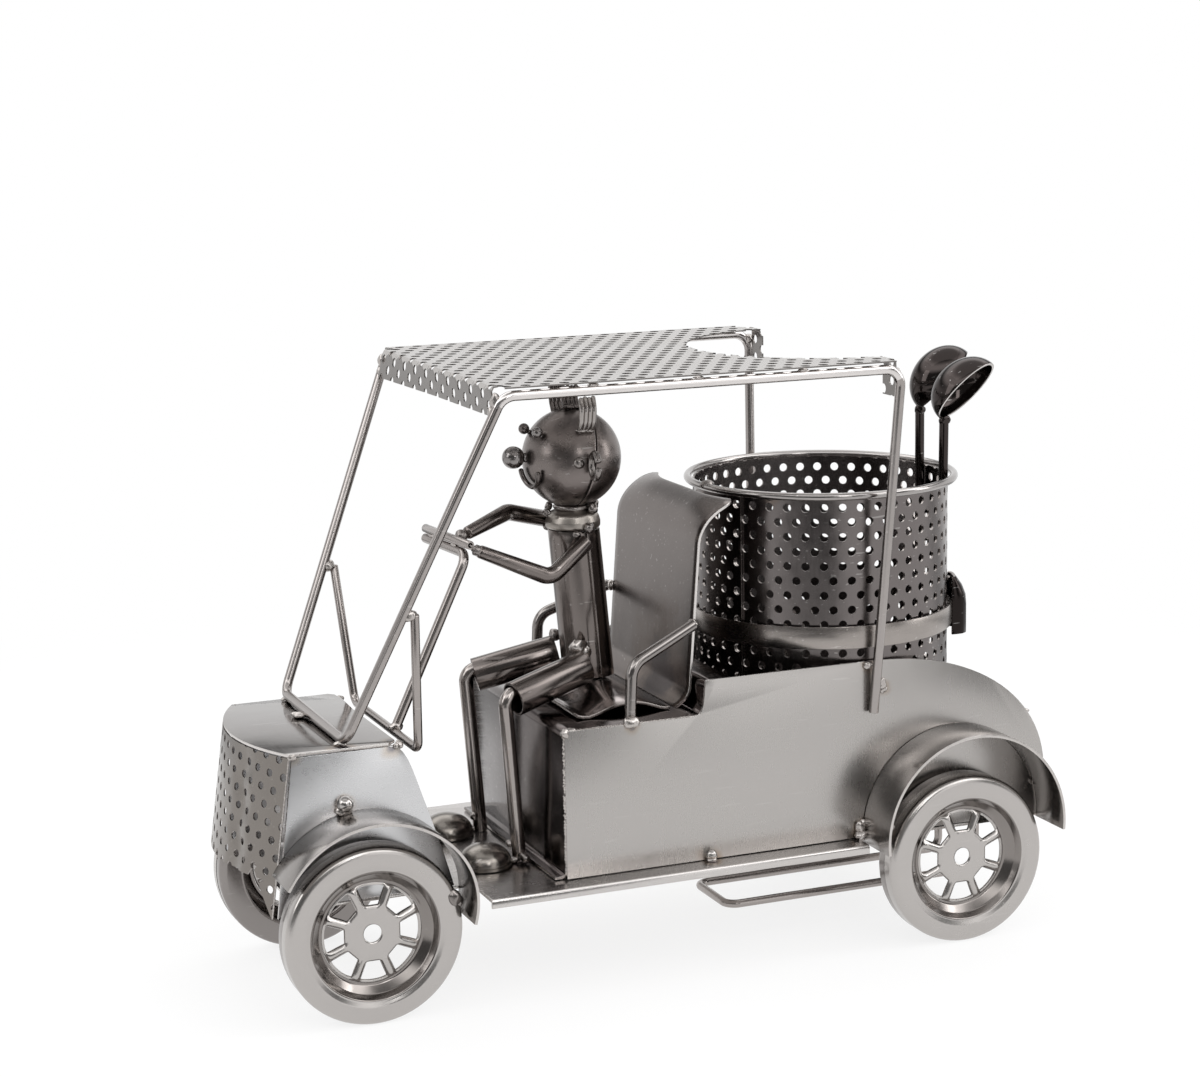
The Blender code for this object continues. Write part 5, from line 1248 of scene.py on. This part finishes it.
neck_z = HEAD_Z - HEAD_RADIUS - GAP - NECK_HEIGHT
waist_z = SEAT_TOP + SHEET + PAN_ARCH + 2 * GAP
torso_height = neck_z - GAP - waist_z
figure_steel = steel("figure_steel", (0.170, 0.149, 0.140), 0.18, drawn=(1, 1, 0.08), clouds=0.26, waves=0.25,
                     grain=0.03)
shin_steel = steel("shin_steel", (0.33, 0.30, 0.285), 0.18, clouds=0.22)
foot_steel = steel("foot_steel", (0.24, 0.22, 0.20), 0.24, clouds=0.20, waves=0.25)
collar_steel = steel("collar_steel", (0.36, 0.33, 0.30), 0.33, drawn=(0.1, 0.1, 1), clouds=0.28, waves=0.25)
torso = strip([round_post(TORSO_LAP - TORSO_WRAP * share, TORSO_RADIUS - TUBE_WALL * (1 - share))
               for share in [step / 72 for step in range(73)]], (0, 0, torso_height / 12), 12)
for vert in torso.verts:
    vert.co.x += HEAD_X + TORSO_LEAN * (1 - vert.co.z / torso_height)
    vert.co.z += waist_z
piece(torso, "torso_tube", figure_steel, ["torso"], slot="gunmetal", sheet=TUBE_WALL, edge=dark_edge,
      soften=0.0001)

neck = turned(soft_profile([(0, NECK_HEIGHT), (0.0052, NECK_HEIGHT), (0.0088, NECK_HEIGHT * 0.72),
                            (NECK_RADIUS, NECK_HEIGHT * 0.36), (NECK_RADIUS, 0), (0, 0)], 0.0022, 5), 56)
put(neck, Matrix.Translation((HEAD_X, 0, neck_z)))
piece(neck, "neck_collar", collar_steel, ["neck"], slot="gunmetal")

arm_spots = {
    "near": ((0.0906, -0.0126, 0.1476), (0.0768, -0.014, 0.1366), (0.0516, -0.0139, 0.1479)),
    "far": ((0.0844, 0.0104, 0.1526), (0.0692, 0.007, 0.1568), (0.051, -0.0033, 0.1527)),
}
for label, side in SIDES:
    path = rounded(arm_spots[label], WIRE_BEND * 1.2, 9)
    spans = [0]
    for before, after in zip(path, path[1:]):
        spans.append(spans[-1] + (after - before).length)
    arm = bmesh.new()
    rod(arm, path, ARM_RADIUS, sides=22, dome=0.4,
        widths=[1 - ARM_TAPER * max(0, span / spans[-1] - 0.55) / 0.45 for span in spans])
    piece(arm, f"arm_{label}_tube", figure_steel, [f"arm_{label}"], slot="gunmetal")

    to_side = Vector((1, side, 1))
    run = THIGH_RUN * to_side
    hip = HIP * to_side
    bore = THIGH_RADIUS - TUBE_WALL
    thigh = turned(soft_profile([(bore, run.length * 0.01), (bore, run.length), (THIGH_RADIUS, run.length),
                                 (THIGH_RADIUS, 0), (bore, 0), (bore, run.length * 0.01)], 0.00018, 2), 40)
    put(thigh, laid(hip, run))
    piece(thigh, f"thigh_{label}_tube", figure_steel, [f"thigh_{label}"], slot="gunmetal")

    along = run.normalized()
    over = along.cross(Vector((0, 1, 0))).normalized()
    over = over if over.z > 0 else -over
    settle = bore * math.cos(math.pi / 16) - SHIN_RADIUS - GAP
    root = hip + along * (run.length * 0.55) + over * settle
    knee = hip + along * (run.length + 1.2 * SHIN_RADIUS) + over * settle
    ankle = Vector((SHIN_FOOT_X, side * FOOT_Y, FLOOR_TOP + GAP))
    shin = bmesh.new()
    rod(shin, rounded([root, knee, ankle], WIRE_BEND, 9), SHIN_RADIUS, sides=22, dome=0.2)
    piece(shin, f"shin_{label}_rod", shin_steel, [f"shin_{label}"], slot="gunmetal")

    dome_rise = FOOT_HEIGHT - FOOT_RIM
    foot_profile = [(FOOT_RADIUS * 0.97 * math.sin(turn), FOOT_RIM + dome_rise * math.cos(turn))
                    for turn in [math.pi / 2 * step / 14 for step in range(15)]]
    foot_profile += [(FOOT_RADIUS, 0.001), (FOOT_RADIUS, 0.0001), (FOOT_RADIUS * 0.9, 0), (0, 0)]
    foot = turned(foot_profile, 56)
    put(foot, Matrix.Translation(ankle - Vector((SHIN_RADIUS + FOOT_RADIUS + 2 * GAP, 0, 0))))
    piece(foot, f"foot_{label}_dome", foot_steel, [f"foot_{label}"], slot="gunmetal")

head_steel = steel("head_steel", (0.19, 0.166, 0.157), 0.29, drawn=(0.035, 1, 1), clouds=0.32, grain=0.30)
head_place = Matrix.Translation(head_centre) @ Matrix.Rotation(HEAD_NOD - math.pi / 2, 4, "Y")
seam_turn = math.acos(-HEAD_SEAM / HEAD_RADIUS)
for label, pole, rim_turn, tuck in (("front", 0, seam_turn - 0.012, -0.0002),
                                    ("rear", math.pi, seam_turn + 0.026, 0.0002)):
    cup_turns = [pole + (rim_turn - pole) * step / 40 for step in range(41)]
    cup_profile = [(HEAD_RADIUS * math.sin(turn), HEAD_RADIUS * math.cos(turn)) for turn in cup_turns]
    edge_radius, edge_height = cup_profile[-1]
    cup_profile += [(edge_radius - 0.0003, edge_height + tuck), (edge_radius - 0.0016, edge_height)]
    cup = turned(cup_profile, 80)
    put(cup, head_place)
    piece(cup, f"head_{label}_cup", head_steel, [f"head_{label}"], slot="gunmetal", sharp=70)

waist_weld = bmesh.new()
bead(waist_weld, (0.0872, -0.0116, 0.1108), 0.0022, stretch=(1.2, 0.8, 1.2), rough=0.45)
bead(waist_weld, (0.0898, -0.0112, 0.1086), 0.0018, stretch=(1.1, 0.8, 1.3), rough=0.45)
welded(waist_weld, "waist_weld", slot="gunmetal")
driver_welds = bmesh.new()
for x, y, z, size in ((0.0796, -0.004, 0.1577, 0.0014), (0.0955, -0.0062, 0.1578, 0.0018),
                      (0.099, 0.001, 0.158, 0.0017), (0.084, 0.006, 0.1578, 0.0015),
                      (0.0925, -0.0103, 0.1518, 0.0019), (0.088, -0.0105, 0.15, 0.0013),
                      (0.0872, 0.0112, 0.1106, 0.002), (0.085, 0.0102, 0.15, 0.0016)):
    bead(driver_welds, (x, y, z), size, rough=0.35)
ankle_x = SHIN_FOOT_X - SHIN_RADIUS
both_sides(bead, driver_welds, (ankle_x - 0.0004, FOOT_Y - 0.0016, FLOOR_TOP + 0.0062), radius=0.0014,
           rough=0.3)
both_sides(bead, driver_welds, (ankle_x + 0.0006, FOOT_Y + 0.001, FLOOR_TOP + 0.0012), radius=0.0016,
           stretch=(1.4, 1.2, 0.8), rough=0.3)
ring_place = Vector((HEAD_X, 0, HEAD_Z - HEAD_RADIUS + 0.0002))
collar_ring = []
collar_widths = []
for step in range(40):
    turn = math.tau * step / 40
    ripple = 0.0004 * noise.noise(Vector((turn, 0, 3)))
    collar_ring.append(ring_place + round_post(turn, COLLAR_RADIUS, ripple))
    collar_widths.append(1 + 0.4 * noise.noise(Vector((step * 0.9, 1, 0))))
rod(driver_welds, collar_ring, 0.001, sides=10, closed=True, widths=collar_widths)
near_elbow, near_hand = [Vector(spot) for spot in arm_spots["near"][1:]]
near_grip = column_near + bar_lift
hand_way = (near_hand - near_elbow).normalized()
hand_end = near_hand + hand_way * 0.0022
rod(driver_welds, [near_hand - hand_way * 0.001, hand_end], 0.0019, sides=6, dome=0.3)
rod(driver_welds, [hand_end, hand_end.lerp(near_grip, 0.5), near_grip], 0.0013, sides=12, dome=0.3,
    widths=[1, 0.7, 0.3])
bead(driver_welds, (0.0483, -0.004, 0.152), 0.0022, rough=0.12)
bead(driver_welds, Vector(arm_spots["far"][1]) + Vector((0.0004, -0.0024, -0.001)), 0.0012, rough=0.10)
rod(driver_welds, [(SHIN_FOOT_X, -FOOT_Y - 0.001, FLOOR_TOP + 0.003),
                   (SHIN_FOOT_X + 0.0008, -FOOT_Y - 0.0052, FLOOR_TOP + 0.0017)], 0.0015, sides=14, dome=0.5)
welded(driver_welds, "driver_welds", dark_weld, "gunmetal")


# Face
# A ball bearing for the nose on a smaller collar ball, two small balls for eyes, a bent wire for the
# mouth, and a hooked wire with a rivet head for each ear.
NOSE_RADIUS = 0.0039
EYE_RADIUS = 0.0019
MOUTH_WIRE = 0.0009
EAR_WIRE = 0.0012
EAR_OUT = 0.0048
ball_steel = steel("ball_steel", (0.23, 0.215, 0.21), 0.15, clouds=0.15, waves=0.05, grain=0.03, wear=0.3)
mouth_steel = steel("mouth_steel", (0.13, 0.115, 0.11), 0.22, clouds=0.30, waves=0.05)
ear_steel = steel("ear_steel", (0.24, 0.22, 0.21), 0.20, clouds=0.30, waves=0.05)


def on_head(azimuth, height, distance):
    """A point off the head, with azimuth from straight ahead toward the near side, in degrees."""
    turn = math.radians(azimuth)
    lift = math.radians(height)
    return head_centre - distance * round_post(turn, math.cos(lift), -math.sin(lift))


# The far eye takes the darker mouth steel while the near eye takes ball steel: painted shade on the far eye.
for node, azimuth, height, radius, metal in (("nose", 0, 4, NOSE_RADIUS, ball_steel),
                                             ("eye_near", 24, 33, EYE_RADIUS, ball_steel),
                                             ("eye_far", -14, 33, EYE_RADIUS, mouth_steel)):
    ball = bmesh.new()
    place = on_head(azimuth, height, HEAD_RADIUS + radius + GAP)
    bmesh.ops.create_uvsphere(ball, u_segments=40, v_segments=24, radius=radius,
                              matrix=Matrix.Translation(place))
    bead(ball, place + (head_centre - place).normalized() * (radius + 0.0002), radius * 0.42, rough=0.3)
    piece(ball, f"{node}_ball", metal, [node], slot="gunmetal", sharp=70, joined=False)
mouth_off = HEAD_RADIUS + MOUTH_WIRE + 2 * GAP
mouth = bmesh.new()
rod(mouth, [on_head(14 + 16 * math.sin(turn), -27 + 17 * (1 - math.cos(turn)), mouth_off)
            for turn in [math.radians(90 * step / 12) for step in range(-12, 13)]], MOUTH_WIRE, sides=12,
    dome=0.8)
piece(mouth, "mouth_wire", mouth_steel, ["mouth"], slot="gunmetal")
for label, side in SIDES:
    ear_centre = Vector((HEAD_X, side * (HEAD_RADIUS + EAR_OUT), HEAD_Z))
    ear_path = [ear_centre + Vector((0, -side * 0.0034 * math.cos(turn), 0.0042 * math.sin(turn)))
                for turn in [math.radians(-170 + 320 * step / 20) for step in range(21)]]
    ear = bmesh.new()
    rod(ear, ear_path, EAR_WIRE, sides=12, dome=0.6)
    bead(ear, (HEAD_X - 0.0035, side * (HEAD_RADIUS - 0.0008), HEAD_Z + 0.0006), 0.0021, stretch=(1, 0.7, 1),
         rough=0.05)
    piece(ear, f"ear_{label}_wire", ear_steel, [f"ear_{label}"], slot="gunmetal", sharp=70, joined=False)


# Hair
# Three tufts, each of four short wires laid side by side, bent together and welded at the root to
# the top of the head.
TUFT_LENGTH = 0.0115
TUFT_WIRE = 0.00085
tuft_steel = steel("tuft_steel", (0.34, 0.315, 0.30), 0.16, clouds=0.20, waves=0.05, grain=0.03, wear=0.3)
# The top and far tufts take the darker mouth steel and only the near tuft its own: painted shade on the top
# and far tufts.
for label, lean, tip, bow, metal in (("near", -52, TUFT_LENGTH, -TUFT_LENGTH / 4, tuft_steel),
                                     ("top", -5, TUFT_LENGTH * 0.6, TUFT_LENGTH / 4, mouth_steel),
                                     ("far", 36, TUFT_LENGTH, TUFT_LENGTH / 4, mouth_steel)):
    tilt = math.radians(lean)
    foot = HEAD_RADIUS + SHEET / 2
    root = Vector((HEAD_X, foot * math.sin(tilt), HEAD_Z + foot * math.cos(tilt)))
    tuft = bmesh.new()
    for strand in range(4):
        x = (strand - 1.5) * TUFT_WIRE * 1.75
        end = tip * (0.97 + 0.03 * (strand % 2))
        curl = [root + Vector((x, u, v)) for u, v in ((0, 0), (bow * 0.7, tip * 0.3), (bow, tip * 0.7),
                                                      (bow * 0.6, end))]
        rod(tuft, rounded(curl, 0.004, 5), TUFT_WIRE, sides=12, dome=0.9)
    bead(tuft, root + Vector((-0.0012, 0, 0.0004)), 0.0012, stretch=(2, 1, 0.8), rough=0.4)
    bead(tuft, root + Vector((0.0014, 0, 0.0003)), 0.0011, stretch=(1.6, 1, 0.8), rough=0.4)
    piece(tuft, f"tuft_{label}_wires", metal, [f"tuft_{label}"], slot="gunmetal", sharp=70, joined=False)


# Clubs
# Two steel rods stand inside the basket, each with a spoon-shaped bowl pressed from sheet and
# welded on its upper end, one leaning a little.
CLUB_SHAFT = 0.0017
CLUB_TOP = 0.182
CLUB_LENGTH = 0.0262
CLUB_WIDTH = 0.0186
CLUB_DEPTH = 0.011
SHAFT_LEAN = Vector((0.0014, -0.0006, -0.0006))
# The clubs' steel is near black: a painted dark reflection, standing in for the dark things beside them in
# the basket.
club_painted_reflection_steel = steel("club_painted_reflection_steel", (0.050, 0.042, 0.040), 0.12, clouds=0.22, grain=0.03)
club_reach = (BASKET_RADIUS - BASKET_WALL) * math.cos(math.pi / 20) - CLUB_SHAFT - GAP
for label, angle, along, opening, lean in (
        ("near", -27, Vector((0.723, -0.170, 0.668)), Vector((0.38, -0.70, -0.61)), SHAFT_LEAN),
        ("far", 5, Vector((0.657, -0.127, 0.743)), Vector((0.714, -0.277, -0.656)), Vector())):
    shaft_foot = basket_axis + round_post(math.radians(angle), club_reach, panel_low)
    shaft_top = Vector((shaft_foot.x, shaft_foot.y, CLUB_TOP)) + lean
    shaft = bmesh.new()
    rod(shaft, [shaft_foot, shaft_top], CLUB_SHAFT, sides=20, dome=0.2)
    bead(shaft, shaft_top, 0.002, rough=0.3)
    piece(shaft, f"club_shaft_{label}_rod", club_painted_reflection_steel, [f"club_shaft_{label}"], slot="gunmetal",
          joined=False)

    along.normalize()
    opening = (opening - along * opening.dot(along)).normalized()
    across_bowl = opening.cross(along)
    long_dip = CLUB_LENGTH / 2 * along.z
    wide_dip = CLUB_WIDTH / 2 * across_bowl.z
    dip = math.hypot(long_dip, wide_dip)
    lowest = along * (-CLUB_LENGTH / 2 * long_dip / dip) + across_bowl * (-CLUB_WIDTH / 2 * wide_dip / dip)
    centre = shaft_top - lowest + Vector((0, 0, SHEET / 2 + GAP))
    bowl = bmesh.new()
    bmesh.ops.create_uvsphere(bowl, u_segments=56, v_segments=36, radius=1.0)
    saw(bowl, (0, 0, 1), 0)
    bmesh.ops.scale(bowl, verts=bowl.verts, vec=(CLUB_LENGTH / 2, CLUB_WIDTH / 2, CLUB_DEPTH))
    put(bowl, Matrix.Translation(centre) @ Matrix((along, across_bowl, opening)).transposed().to_4x4())
    piece(bowl, f"club_head_{label}_bowl", club_painted_reflection_steel, [f"club_head_{label}"], slot="gunmetal", sheet=SHEET,
          lift=0, edge=cut_edge, soften=0.0002, face=-opening, sharp=60)
